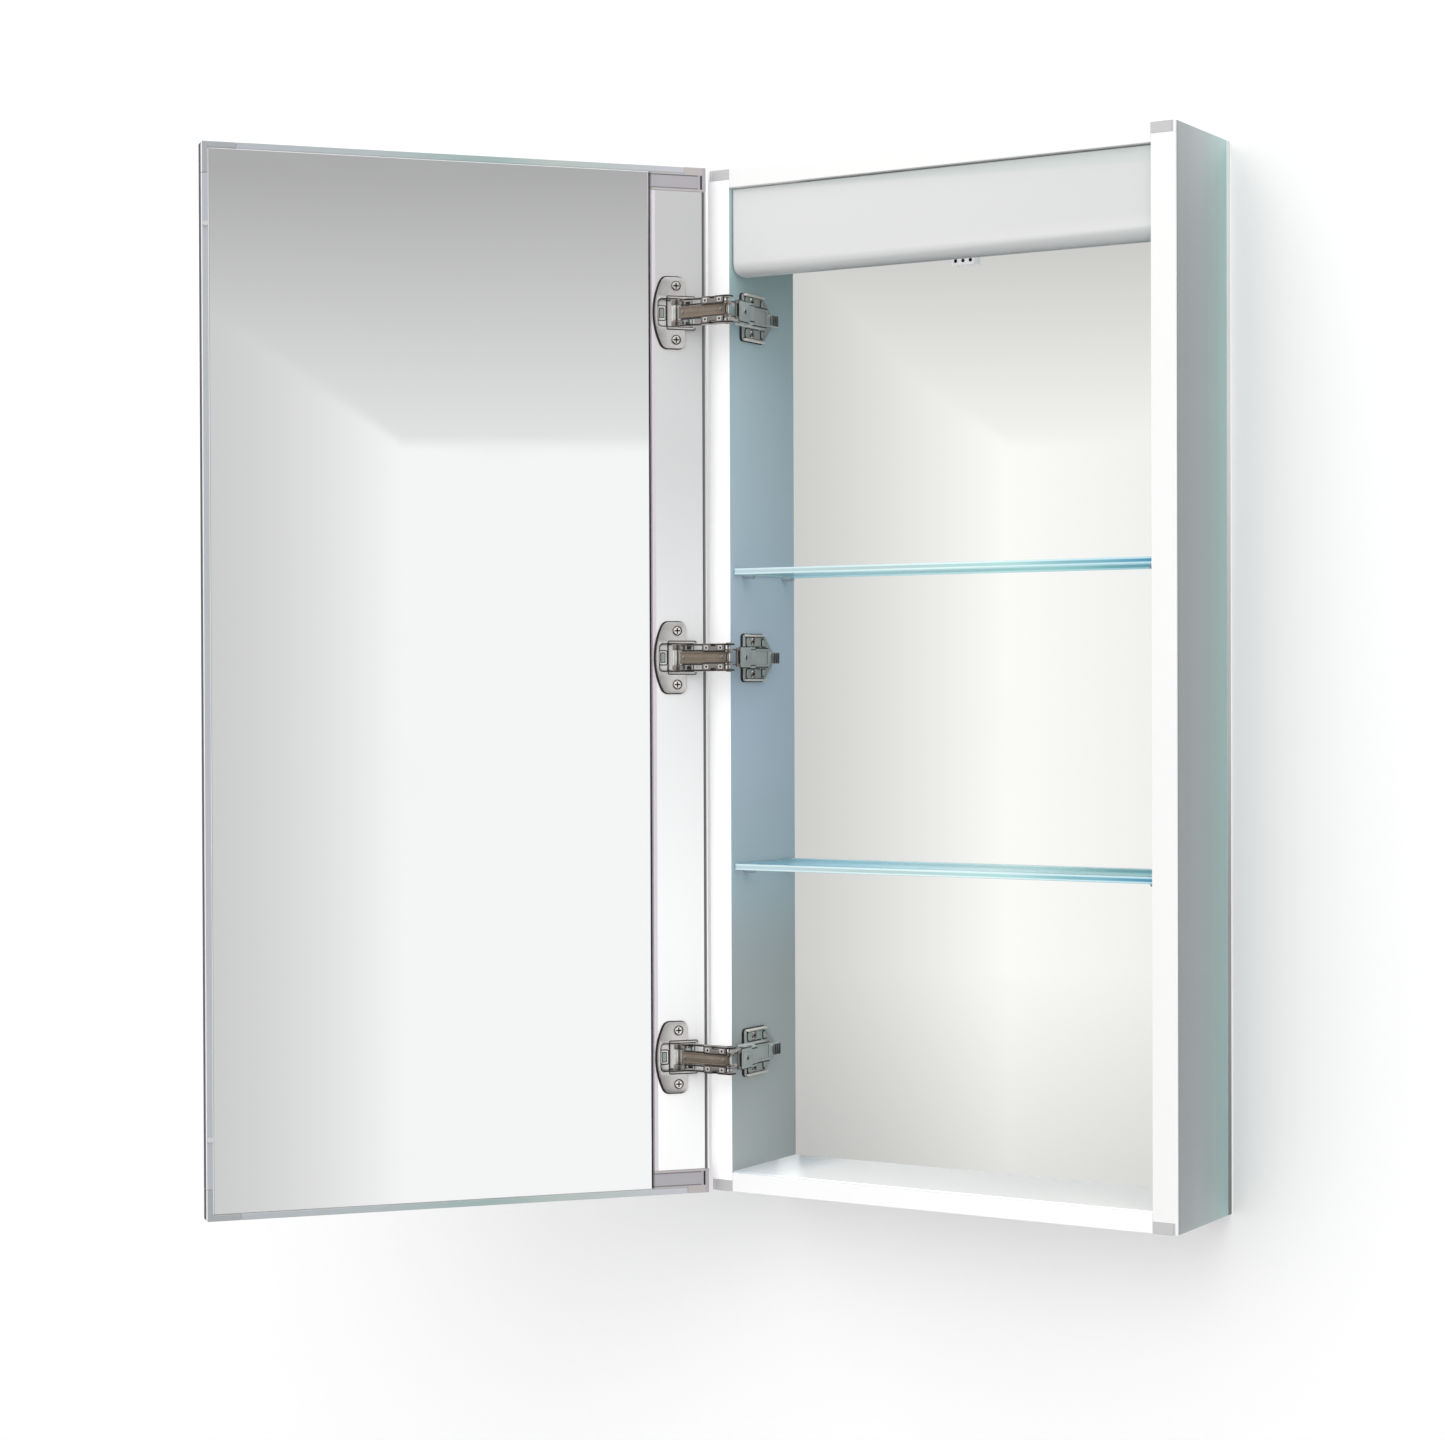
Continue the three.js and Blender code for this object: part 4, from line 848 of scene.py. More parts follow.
def stamped(outline, low, high, edge=0.2, holes=(), grow=0.0):
    """A flat piece between two heights, with rounded edges all round and in its holes."""
    curve = bpy.data.curves.new("outline", "CURVE")
    curve.dimensions = "2D"
    curve.fill_mode = "BOTH"
    curve.extrude = (high - low) / 2 - edge
    curve.bevel_depth = edge
    curve.bevel_resolution = 1
    curve.offset = grow - edge
    for path in (outline, *holes):
        spline = curve.splines.new("POLY")
        spline.points.add(len(path) - 1)
        for point, (x, y) in zip(spline.points, path):
            point.co = (x, y, 0.0, 1.0)
        spline.use_cyclic_u = True
    holder = bpy.data.objects.new("outline", curve)
    mesh = bpy.data.meshes.new_from_object(holder)
    bm = bmesh.new()
    bm.from_mesh(mesh)
    bpy.data.objects.remove(holder)
    bpy.data.curves.remove(curve)
    bpy.data.meshes.remove(mesh)
    bmesh.ops.remove_doubles(bm, verts=bm.verts, dist=0.0005)
    bmesh.ops.translate(bm, vec=(0.0, 0.0, (low + high) / 2), verts=bm.verts)
    return bm


def turned(profile, place=(0.0, 0.0), count=24):
    """A closed solid of revolution round local z, from (radius, height) points off the axis."""
    bm = bmesh.new()
    rings = []
    for radius, height in profile:
        rings.append([bm.verts.new((place[0] + x, place[1] + y, height))
                      for x, y in circle(0.0, 0.0, radius, count)])
    for lower, upper in zip(rings, rings[1:]):
        for i in range(count):
            bm.faces.new((lower[i], lower[(i + 1) % count], upper[(i + 1) % count], upper[i]))
    bm.faces.new(rings[0][::-1])
    bm.faces.new(rings[-1])
    return bm


def bar(low, high, edge=0.2):
    """A block between two corners, with rounded edges."""
    bm = bmesh.new()
    bmesh.ops.create_cube(bm, size=1.0)
    size = [h - l for l, h in zip(low, high)]
    middle = [(h + l) / 2 for l, h in zip(low, high)]
    bmesh.ops.scale(bm, vec=size, verts=bm.verts)
    bmesh.ops.translate(bm, vec=middle, verts=bm.verts)
    if edge:
        bmesh.ops.bevel(bm, geom=bm.edges[:], offset=edge, segments=2, profile=0.5, affect="EDGES",
                        clamp_overlap=True)
    return bm


class Assembly:
    """Closed parts in millimetres, gathered in one mesh that lies in the row's frame."""

    def __init__(self, *finishes):
        self.bm = bmesh.new()
        self.finishes = finishes

    def add(self, part, axes, finish=0, rim=None):
        """`rim` is another finish, for the faces that stand upright on a stamped piece; the dark finishes given to
        it paint shade on those edges.
        """
        bmesh.ops.recalc_face_normals(part, faces=part.faces)
        for face in part.faces:
            upright = rim is not None and abs(face.normal.z) < 0.3
            face.material_index = rim if upright else finish
        part.transform(axes)
        mesh = bpy.data.meshes.new("part")
        part.to_mesh(mesh)
        part.free()
        self.bm.from_mesh(mesh)
        bpy.data.meshes.remove(mesh)

    def mesh(self, name):
        mesh = bpy.data.meshes.new(name)
        self.bm.to_mesh(mesh)
        self.bm.free()
        for material in self.finishes:
            mesh.materials.append(material)
        return mesh


def axes(origin, across, along, outwards):
    """Turns millimetres along three directions at `origin` into the row's frame."""
    turn = Matrix((across, along, outwards)).transposed().to_4x4()
    return Matrix.Translation(origin) @ turn @ Matrix.Scale(MM, 4)


# ------------------------------------------------------------------ what repeats, in geometry nodes

def geometry_group(name, inputs):
    """A geometry tree with named inputs, from (name, default) and sockets by kind."""
    tree = bpy.data.node_groups.new(name, "GeometryNodeTree")
    tree.interface.new_socket("Geometry", in_out="INPUT", socket_type="NodeSocketGeometry")
    for label, kind, default in inputs:
        socket = tree.interface.new_socket(label, in_out="INPUT", socket_type="NodeSocket" + kind)
        if default is not None:
            socket.default_value = default
    tree.interface.new_socket("Geometry", in_out="OUTPUT", socket_type="NodeSocketGeometry")
    t = Tree(tree)
    return tree, t, t.add("NodeGroupInput").outputs, t.add("NodeGroupOutput").inputs


def finish_group(t, given, out, shape, selection=True):
    """Puts `shape` on the points, turned and in its finish."""
    placed = t.add("GeometryNodeInstanceOnPoints", {"Points": given["Geometry"], "Instance": shape,
                                                    "Rotation": given["Turn"]})
    plain = t.add("GeometryNodeRealizeInstances", {0: placed.outputs[0]})
    painted = t.add("GeometryNodeSetMaterial", {"Geometry": plain.outputs[0], "Selection": selection,
                                                "Material": given["Finish"]})
    t.links.new(painted.outputs[0], out[0])


def screw_group():
    """Countersunk screws with a cross recess, at the points of the mesh. Local z is outwards."""
    tree, t, given, out = geometry_group("cross screws", [
        ("Radius", "Float", 0.0033), ("Height", "Float", 0.0012), ("Slot Length", "Float", 0.0040),
        ("Slot Width", "Float", 0.0009), ("Slot Depth", "Float", 0.0007), ("Turn", "Rotation", None),
        ("Finish", "Material", None), ("Recess", "Material", None)])
    top = t.math("MULTIPLY", given["Radius"], 0.86)
    head = t.add("GeometryNodeMeshCone", {"Vertices": 28, "Radius Top": top, "Radius Bottom": given["Radius"],
                                          "Depth": given["Height"]}).outputs[0]
    slots = []
    for x, y in (("Slot Length", "Slot Width"), ("Slot Width", "Slot Length")):
        size = t.add("ShaderNodeCombineXYZ", {0: given[x], 1: given[y], 2: given["Slot Depth"]}).outputs[0]
        slots.append(t.add("GeometryNodeMeshCube", {"Size": size}).outputs[0])
    both = t.add("GeometryNodeMeshBoolean", operation="UNION")
    for slot in slots:
        t.links.new(slot, both.inputs[1])
    lift = t.add("ShaderNodeCombineXYZ", {2: given["Height"]}).outputs[0]
    raised = t.add("GeometryNodeTransform", {"Geometry": both.outputs[0], "Translation": lift}).outputs[0]
    cut = t.add("GeometryNodeMeshBoolean", {0: head, 1: raised}, operation="DIFFERENCE")
    # Painted shade: the cross is filled below the head's face with the dark Recess finish.
    sunk = t.math("SUBTRACT", given["Height"], t.math("MULTIPLY", given["Slot Depth"], 0.7))
    lower = t.add("ShaderNodeCombineXYZ", {2: sunk}).outputs[0]
    cross = t.add("GeometryNodeTransform", {"Geometry": both.outputs[0], "Translation": lower}).outputs[0]
    dark = t.add("GeometryNodeSetMaterial", {"Geometry": cross, "Material": given["Recess"]})
    shape = t.add("GeometryNodeJoinGeometry")
    t.links.new(cut.outputs[0], shape.inputs[0])
    t.links.new(dark.outputs[0], shape.inputs[0])
    is_dark = t.add("GeometryNodeMaterialSelection", {0: given["Recess"]}).outputs[0]
    rest = t.add("FunctionNodeBooleanMath", {0: is_dark}, operation="NOT").outputs[0]
    finish_group(t, given, out, shape.outputs[0], rest)
    return tree


def rivet_group():
    """Low domed rivet heads at the points of the mesh. Local z is outwards."""
    tree, t, given, out = geometry_group("rivets", [
        ("Radius", "Float", 0.002), ("Rise", "Float", 0.0007), ("Turn", "Rotation", None),
        ("Finish", "Material", None)])
    ball = t.add("GeometryNodeMeshUVSphere", {"Segments": 20, "Rings": 10, "Radius": given["Radius"]})
    flat = t.math("DIVIDE", given["Rise"], given["Radius"])
    scale = t.add("ShaderNodeCombineXYZ", {0: 1.0, 1: 1.0, 2: flat}).outputs[0]
    dome = t.add("GeometryNodeTransform", {"Geometry": ball.outputs[0], "Scale": scale}).outputs[0]
    finish_group(t, given, out, dome)
    return tree


def spring_group():
    """Coil springs at the points of the mesh, wound round local z."""
    tree, t, given, out = geometry_group("coil springs", [
        ("Radius", "Float", 0.002), ("Length", "Float", 0.004), ("Turns", "Float", 4.0),
        ("Wire", "Float", 0.0004), ("Turn", "Rotation", None), ("Finish", "Material", None)])
    coil = t.add("GeometryNodeCurveSpiral", {"Resolution": 14, "Rotations": given["Turns"],
                                             "Start Radius": given["Radius"],
                                             "End Radius": given["Radius"], "Height": given["Length"]})
    wire = t.add("GeometryNodeCurvePrimitiveCircle", {"Resolution": 8, "Radius": given["Wire"]})
    swept = t.add("GeometryNodeCurveToMesh", {"Curve": coil.outputs[0], "Profile Curve": wire.outputs[0],
                                              "Fill Caps": True}).outputs[0]
    finish_group(t, given, out, swept)
    return tree


SCREWS = screw_group()
RIVETS = rivet_group()
SPRINGS = spring_group()


def repeated(name, tree, points, body, slot, turn, finish, **sizes):
    """One plain mesh of the tree's shape at every point, on one body."""
    mesh = bpy.data.meshes.new(name + " points")
    mesh.from_pydata(points, [], [])
    source = bpy.data.objects.new(name + " points", mesh)
    bpy.context.collection.objects.link(source)
    made = source.modifiers.new(name, "NODES")
    made.node_group = tree
    values = {"Turn": turn.to_euler(), "Finish": finish, "Recess": DARK_STEEL_AND_SHADE}
    values.update({key.replace("_", " "): size for key, size in sizes.items()})
    for item in tree.interface.items_tree:
        if item.item_type == "SOCKET" and item.in_out == "INPUT" and item.name in values:
            made[item.identifier] = values[item.name]
    bpy.context.view_layer.update()
    seen = source.evaluated_get(bpy.context.evaluated_depsgraph_get())
    plain = bpy.data.meshes.new_from_object(seen)
    bpy.data.objects.remove(source)
    smooth_by_angle(plain)
    piece = bpy.data.objects.new(name, plain)
    bpy.context.collection.objects.link(piece)
    piece.visible_glossy = False
    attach(piece, body)
    return piece


# ------------------------------------------------------------------ cabinet

INNER_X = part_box("back_mirror")[1][0]
ENDS = ("bottom", "top")
OUTLET_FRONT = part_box("outlet")[0][1]
CONTACT_SPACING, CONTACT_RADIUS, CONTACT_RISE = 6.2 * MM, 1.4 * MM, 3.0 * MM
UP = Vector((0.0, 0.0, 1.0))


def finish_side(side, sign):
    cap_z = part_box("corner_cap_top_" + side)[0][2]
    cap_x = HIGH.x - CAP_TO_LIP

    def zone(normal, place):
        if normal.x * sign < -0.9 and abs(abs(place.x) - INNER_X) < MM:
            return 1
        if normal.y < -0.9 and abs(place.z) > cap_z and abs(place.x) < cap_x:
            return 2
        return 3 * int(normal.x * sign > 0.9 and place.y > -REAR_LIP_DEPTH)

    cuts = [((0.0, 0.0, cap_z), UP), ((0.0, 0.0, -cap_z), UP), ((sign * cap_x, 0.0, 0.0), (1.0, 0.0, 0.0))]
    coat = GLOWING_LEFT_COAT if side == "left" else WHITE_COAT
    refine("side_profile_" + side, [coat, INNER_WALL, CORNER_GREY, REAR_LIP], zone, cuts=cuts)
    refine("side_mirror_" + side, [SIDE_MIRROR, MIRROR_BACKING],
           lambda normal, place: int(normal.x * sign < 0.5), GLASS_EDGE)
    for end in ENDS:
        refine(f"corner_cap_{end}_{side}", [CORNER_GREY], bevel=MOULDED_EDGE)
    for shelf in ("upper", "lower"):
        for place in ("front", "rear"):
            refine(f"shelf_peg_{shelf}_{place}_{side}", [PEG_BLUE], bevel=SHEET_EDGE)


def finish_cabinet():
    for side, sign in (("left", -1), ("right", 1)):
        finish_side(side, sign)
    for end, coat in (("top", WHITE_COAT), ("bottom", FOOT_COAT)):
        refine(end + "_profile", [coat])
    refine("back_mirror", [BACK_MIRROR, GLASS_RIM, MIRROR_BACKING],
           lambda normal, place: 0 if normal.y < -0.5 else 2 if normal.y > 0.5 else 1, GLASS_EDGE)
    refine("back_panel", [STEEL], bevel=SHEET_EDGE)
    refine("floor_liner", [LINER_WHITE], bevel=SHEET_EDGE)
    for name in ("upper", "lower"):
        refine("shelf_" + name, [SHELF_GLASS[name], SHELF_RIMS[name]],
               lambda normal, place: int(abs(normal.z) < 0.5), GLASS_EDGE)


def finish_electrics():
    refine("electrics_cover", [BOX_GREY], bevel=MOULDED_EDGE)
    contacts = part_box("outlet")[0][2] + CONTACT_RISE

    def in_hole(normal, place):
        nearest = round(place.x / CONTACT_SPACING) * CONTACT_SPACING
        return int(math.hypot(place.x - nearest, place.z - contacts) < CONTACT_RADIUS * 1.1
                   and abs(nearest) < CONTACT_SPACING * 1.5 and abs(place.y - OUTLET_FRONT) > 0.1 * MM)

    # Painted shade in the contact holes.
    refine("outlet", [GLOWING_OUTLET_WHITE, SLOT_DARK], in_hole, 0.15 * MM)
    for node, slot, material in (("electrics_tray", "sheet_steel", STEEL),
                                 ("terminal_block", "terminal_white", TERMINAL_WHITE),
                                 ("cable_gland", "gland_rubber", RUBBER)):
        refine(node, [material], bevel=SHEET_EDGE)
    refine("outlet_lead", [LEAD_GREY], bevel=None)


def door_end(normal, place):
    """Zones of the door's free end: 1 is dark, 2 is white, a painted highlight along its edge, and 0 is all the
    rest.
    """
    if normal.dot(DOOR_ALONG) < 0.9:
        return 0
    depth = (DOOR_EDGE - place).dot(DOOR_INWARD)
    return 1 if depth > DOOR_DARK_DEPTH else 2


def across_door(place):
    """Distance from the door's hinge edge, along the door."""
    return (place - DOOR_EDGE).dot(DOOR_ALONG)


def sunk_panel(bm, low, high, depth):
    """Sinks the faces between two distances from the hinge edge and two heights."""
    faces = []
    for face in bm.faces:
        place = face.calc_center_median()
        inside = low[0] < across_door(place) < high[0] and low[1] < place.z < high[1]
        if inside and face.normal.dot(DOOR_INWARD) > 0.9:
            faces.append(face)
    edges = list({edge for face in faces for edge in face.edges})
    made = bmesh.ops.extrude_face_region(bm, geom=faces + edges)
    moved = [part for part in made["geom"] if isinstance(part, bmesh.types.BMVert)]
    bmesh.ops.translate(bm, verts=moved, vec=-DOOR_INWARD * depth)


def finish_strip_cap(end):
    """The cap at the strip's end, with a bare sunk panel and a dark slit beside it."""
    low, high = (corner[2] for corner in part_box("strip_cap_" + end))
    below, above = (CAP_NARROW, CAP_WIDE) if end == "top" else (CAP_WIDE, CAP_NARROW)
    low, high = low + below, high - above
    cuts = [((0.0, 0.0, z), UP) for z in (low, low + CAP_BORDER, high - CAP_BORDER, high)]
    cuts += [(DOOR_EDGE + DOOR_ALONG * across, DOOR_ALONG) for across in CAP_SLIT + CAP_PANEL]

    def shape(bm):
        for (start, stop), depth in ((CAP_SLIT, CAP_SLIT_DEPTH), (CAP_PANEL, CAP_PANEL_DEPTH)):
            sunk_panel(bm, (start, low), (stop, high), depth)

    def zone(normal, place):
        across = across_door(place)
        if not low - HAIR < place.z < high + HAIR:
            return 2 * int(across > CAP_SLIT[0])
        # Painted shade in the slit.
        if CAP_SLIT[0] - HAIR < across < CAP_SLIT[1] + HAIR:
            return 1
        return 3 * int(across > CAP_PANEL[0] - HAIR
                       and not low + CAP_BORDER < place.z < high - CAP_BORDER)

    refine("strip_cap_" + end, [CAP_LILAC, SLOT_DARK, CAP_LIP, CAP_SHADE], zone, FINE_EDGE,
           cuts=cuts, shape=shape)


def finish_door():
    # White coat on the free end's inner part: a painted highlight.
    end_cut = [(DOOR_EDGE - DOOR_INWARD * DOOR_DARK_DEPTH, DOOR_INWARD)]
    refine("door_mirror_outer", [DOOR_MIRROR, DARK_RIM_AND_SHADE],
           lambda normal, place: int(abs(normal.dot(DOOR_INWARD)) < 0.5), GLASS_EDGE)
    # The inner mirror's edge towards the strip is dark: a painted shadow line in the gap beside the strip.
    refine("door_mirror_inner", [DOOR_MIRROR, DARK_RIM_AND_SHADE],
           lambda normal, place: int(normal.dot(DOOR_ALONG) < -0.5), GLASS_EDGE)
    for end in ENDS:
        refine("door_rail_" + end, [DOOR_RAIL])
        refine("door_corner_" + end, [CAP_LILAC, DARK_RIM_AND_SHADE, WHITE_COAT], door_end,
               MOULDED_EDGE, cuts=end_cut)
        refine("door_bumper_" + end, [BUMPER], bevel=SHEET_EDGE)
        finish_strip_cap(end)
    refine("door_stile_free", [DOOR_RAIL, DARK_RIM_AND_SHADE, WHITE_COAT], door_end, cuts=end_cut)
    refine("door_stile_hinge", [HINGE_STRIP])
    refine("door_core", [BOARD, SLOT_DARK],
           lambda normal, place: int(normal.dot(DOOR_INWARD) > 0.9), SHEET_EDGE)


# ------------------------------------------------------------------ hinges

HINGE_Z = {level: sum(corner[2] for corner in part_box("hinge_cup_" + level)) / 2 for level in LEVELS}
ARM_PIVOT, ELBOW, CUP_JOINT = (PIVOTS[name] for name in ("link_turn", "hinge_fold", "door_swing"))
WALL_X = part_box("hinge_plate_top")[0][0]  # inner face of the left side
PLATE_FRONT, PLATE_REAR = (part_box("hinge_plate_top")[i][1] for i in (0, 1))

# Cup, in millimetres from the door's hinge edge, from the hinge's middle and from the door's face
FLANGE_STRAIGHT, FLANGE_SHOULDER, FLANGE_APEX = 17.5, 34.6, 41.7
FLANGE_HALF = 27.2
FLANGE_TOP = 1.3
CUP_START, CUP_END = 11.0, 39.3
LEDGE_START = 31.0
LEDGE_TOP = -2.8
CUP_HALF = 11.0
CUP_WALL = 1.1
CUP_FLOOR = -8.8
CUP_SCREW = (24.6, 20.6)
SPRING_PLACE = (13.6, -3.4)
SPRING_LENGTH = 4.0
SPRING_STARTS = (-6.6 - SPRING_LENGTH, 6.6)
# How far the painted shadow line reaches out round outlined parts.
PAINTED_SHADOW_LINE = 0.75


def at(origin, level):
    return Vector((origin.x, origin.y, HINGE_Z[level]))


def door_axes(level):
    """Across is from the door's hinge edge, along is down, outwards is off its inner face."""
    return axes(at(DOOR_EDGE, level), DOOR_ALONG, -UP, DOOR_INWARD)


def bar_axes(start, end, level):
    """Across runs from one pivot to the next, and outwards is up."""
    ahead = (end - start).normalized()
    return axes(at(start, level), ahead, UP.cross(ahead), UP)


def face_axes(start, end, level):
    """Across is up, along runs from one pivot to the next, outwards is towards the open front."""
    ahead = (end - start).normalized()
    return axes(at(start, level), UP, ahead, UP.cross(ahead))


def outlined(made, outline, low, high, edge, place, finish, dark, holes=(), shift=0.0):
    """A stamped part over a slightly larger dark one, a sheet that paints a thin shadow line round its edge."""
    made.add(stamped(outline, low, high, edge, holes), place, finish, dark)
    wider = [(x + shift, y) for x, y in outline]
    made.add(stamped(wider, low - 0.25, low + 0.2, 0.05, holes, PAINTED_SHADOW_LINE), place, dark)


def finish_hinge_part(made, part, level):
    node = f"hinge_{part}_{level}"
    finish_piece(node + "_finished", made.mesh(f"{part} {level}"), [node])


def cup_flange():
    bulge = FLANGE_APEX - FLANGE_SHOULDER
    radius = (FLANGE_HALF ** 2 + bulge ** 2) / (2 * bulge)
    sweep = math.degrees(math.asin(FLANGE_HALF / radius))
    curve = [(x, y, 5.5 if i in (0, 12) else 0) for i, (x, y) in enumerate(
        arc((FLANGE_APEX - radius, 0.0), radius, -sweep, sweep, 12))]
    neck, shoulder = CUP_HALF + CUP_WALL, CUP_START - CUP_WALL
    back = [(FLANGE_STRAIGHT, FLANGE_HALF, 4.5), (FLANGE_STRAIGHT, neck, 1.0), (shoulder, neck, 1.2),
            (shoulder, -neck, 1.2), (FLANGE_STRAIGHT, -neck, 1.0), (FLANGE_STRAIGHT, -FLANGE_HALF, 4.5)]
    return rounded(curve + back)


def finish_cup(level):
    place = door_axes(level)
    # Finish 2 is near-black and paints shade: shadow lines and edges of the flange, lips and tab, the step at the
    # ledge, and rings round the screws.
    made = Assembly(NICKEL, DULL_NICKEL, DARK_STEEL_AND_SHADE, BRIGHT_NICKEL)
    opening = rounded([(CUP_START, -CUP_HALF, 1.0), (CUP_END, -CUP_HALF, 3.4),
                       (CUP_END, CUP_HALF, 3.4), (CUP_START, CUP_HALF, 1.0)])
    outlined(made, cup_flange(), 0.3, FLANGE_TOP, 0.3, place, 0, 2, [opening], 0.8)
    for side in (-1, 1):
        low, high = sorted((side * (CUP_HALF + 0.1), side * (CUP_HALF + 1.3)))
        lip = oblong(CUP_START - 1.1, LEDGE_START + 0.6, low, high, 0.5)
        outlined(made, lip, FLANGE_TOP - 0.1, FLANGE_TOP + 0.4, 0.12, place, 0, 2)
    made.add(bar((CUP_START - 1.1, -CUP_HALF - 1.3, 0.3), (CUP_START + 0.1, CUP_HALF + 1.3, FLANGE_TOP + 0.4),
                 0.15), place)
    ledge = rounded([(LEDGE_START, -CUP_HALF, 0.5), (CUP_END, -CUP_HALF, 3.4), (CUP_END, CUP_HALF, 3.4),
                     (LEDGE_START, CUP_HALF, 0.5)])
    made.add(stamped(ledge, LEDGE_TOP - 1.0, LEDGE_TOP, 0.1), place)
    # Painted shade: a dark strip in the step where the ledge starts.
    made.add(stamped(oblong(LEDGE_START - 0.8, LEDGE_START + 0.4, -CUP_HALF, CUP_HALF, 0.4),
                     LEDGE_TOP - 0.8, LEDGE_TOP + 0.1, 0.1), place, 2)
    tab = oblong(LEDGE_START + 1.0, LEDGE_START + 7.4, -5.2, 5.2, 0.9)
    inside = oblong(LEDGE_START + 2.0, LEDGE_START + 6.2, -4.0, 4.0, 0.7)
    outlined(made, tab, LEDGE_TOP - 0.1, LEDGE_TOP + 0.4, 0.15, place, 3, 2, [inside])
    made.add(stamped(inside, LEDGE_TOP - 0.2, LEDGE_TOP + 0.1, 0.05), place, 1)
    made.add(stamped(oblong(25.4, LEDGE_START - 1.2, -CUP_HALF + 1.0, CUP_HALF - 1.0, 2.0), -7.6, -6.6, 0.2),
             place)
    walls = oblong(CUP_START - CUP_WALL, CUP_END + CUP_WALL, -CUP_HALF - CUP_WALL, CUP_HALF + CUP_WALL, 1.8)
    hollow = oblong(CUP_START, CUP_END, -CUP_HALF, CUP_HALF, 1.2)
    made.add(stamped(walls, CUP_FLOOR, 0.2, 0.15, [hollow]), place, 1)
    made.add(stamped(walls, CUP_FLOOR - 0.15, CUP_FLOOR + 1.0, 0.1), place, 1)
    for side in (-1, 1):
        ring = circle(CUP_SCREW[0], side * CUP_SCREW[1], 4.4)
        hole = circle(CUP_SCREW[0], side * CUP_SCREW[1], 3.8)
        made.add(stamped(ring, FLANGE_TOP - 0.3, FLANGE_TOP + 0.14, 0.12, [hole]), place)
        # Painted shade round the screws: a dark disc under each ring.
        made.add(turned([(3.9, FLANGE_TOP - 0.4), (3.9, FLANGE_TOP + 0.03)],
                        (CUP_SCREW[0], side * CUP_SCREW[1])), place, 2)
    finish_hinge_part(made, "cup", level)
    spots = [place @ Vector((CUP_SCREW[0], side * CUP_SCREW[1], FLANGE_TOP)) for side in (-1, 1)]
    repeated(f"hinge_cup_screws_{level}", SCREWS, spots, "door", "hinge_nickel", place.to_3x3().normalized(),
             BRIGHT_NICKEL, Radius=3.1 * MM, Height=0.4 * MM, Slot_Length=4.6 * MM, Slot_Width=1.1 * MM,
             Slot_Depth=0.5 * MM)
    across, depth = SPRING_PLACE
    coils = [place @ Vector((across, y, depth)) for y in SPRING_STARTS]
    repeated(f"hinge_springs_{level}", SPRINGS, coils, "door", "hinge_nickel",
             Matrix((DOOR_ALONG, DOOR_INWARD, -UP)).transposed(), DARK_STEEL_AND_SHADE, Radius=1.7 * MM,
             Length=SPRING_LENGTH * MM, Turns=5.0, Wire=0.42 * MM)


# Coupler, from the elbow to the cup's barrel
COUPLER_LENGTH = (CUP_JOINT - ELBOW).length / MM
LINK_LENGTH = (ELBOW - ARM_PIVOT).length / MM


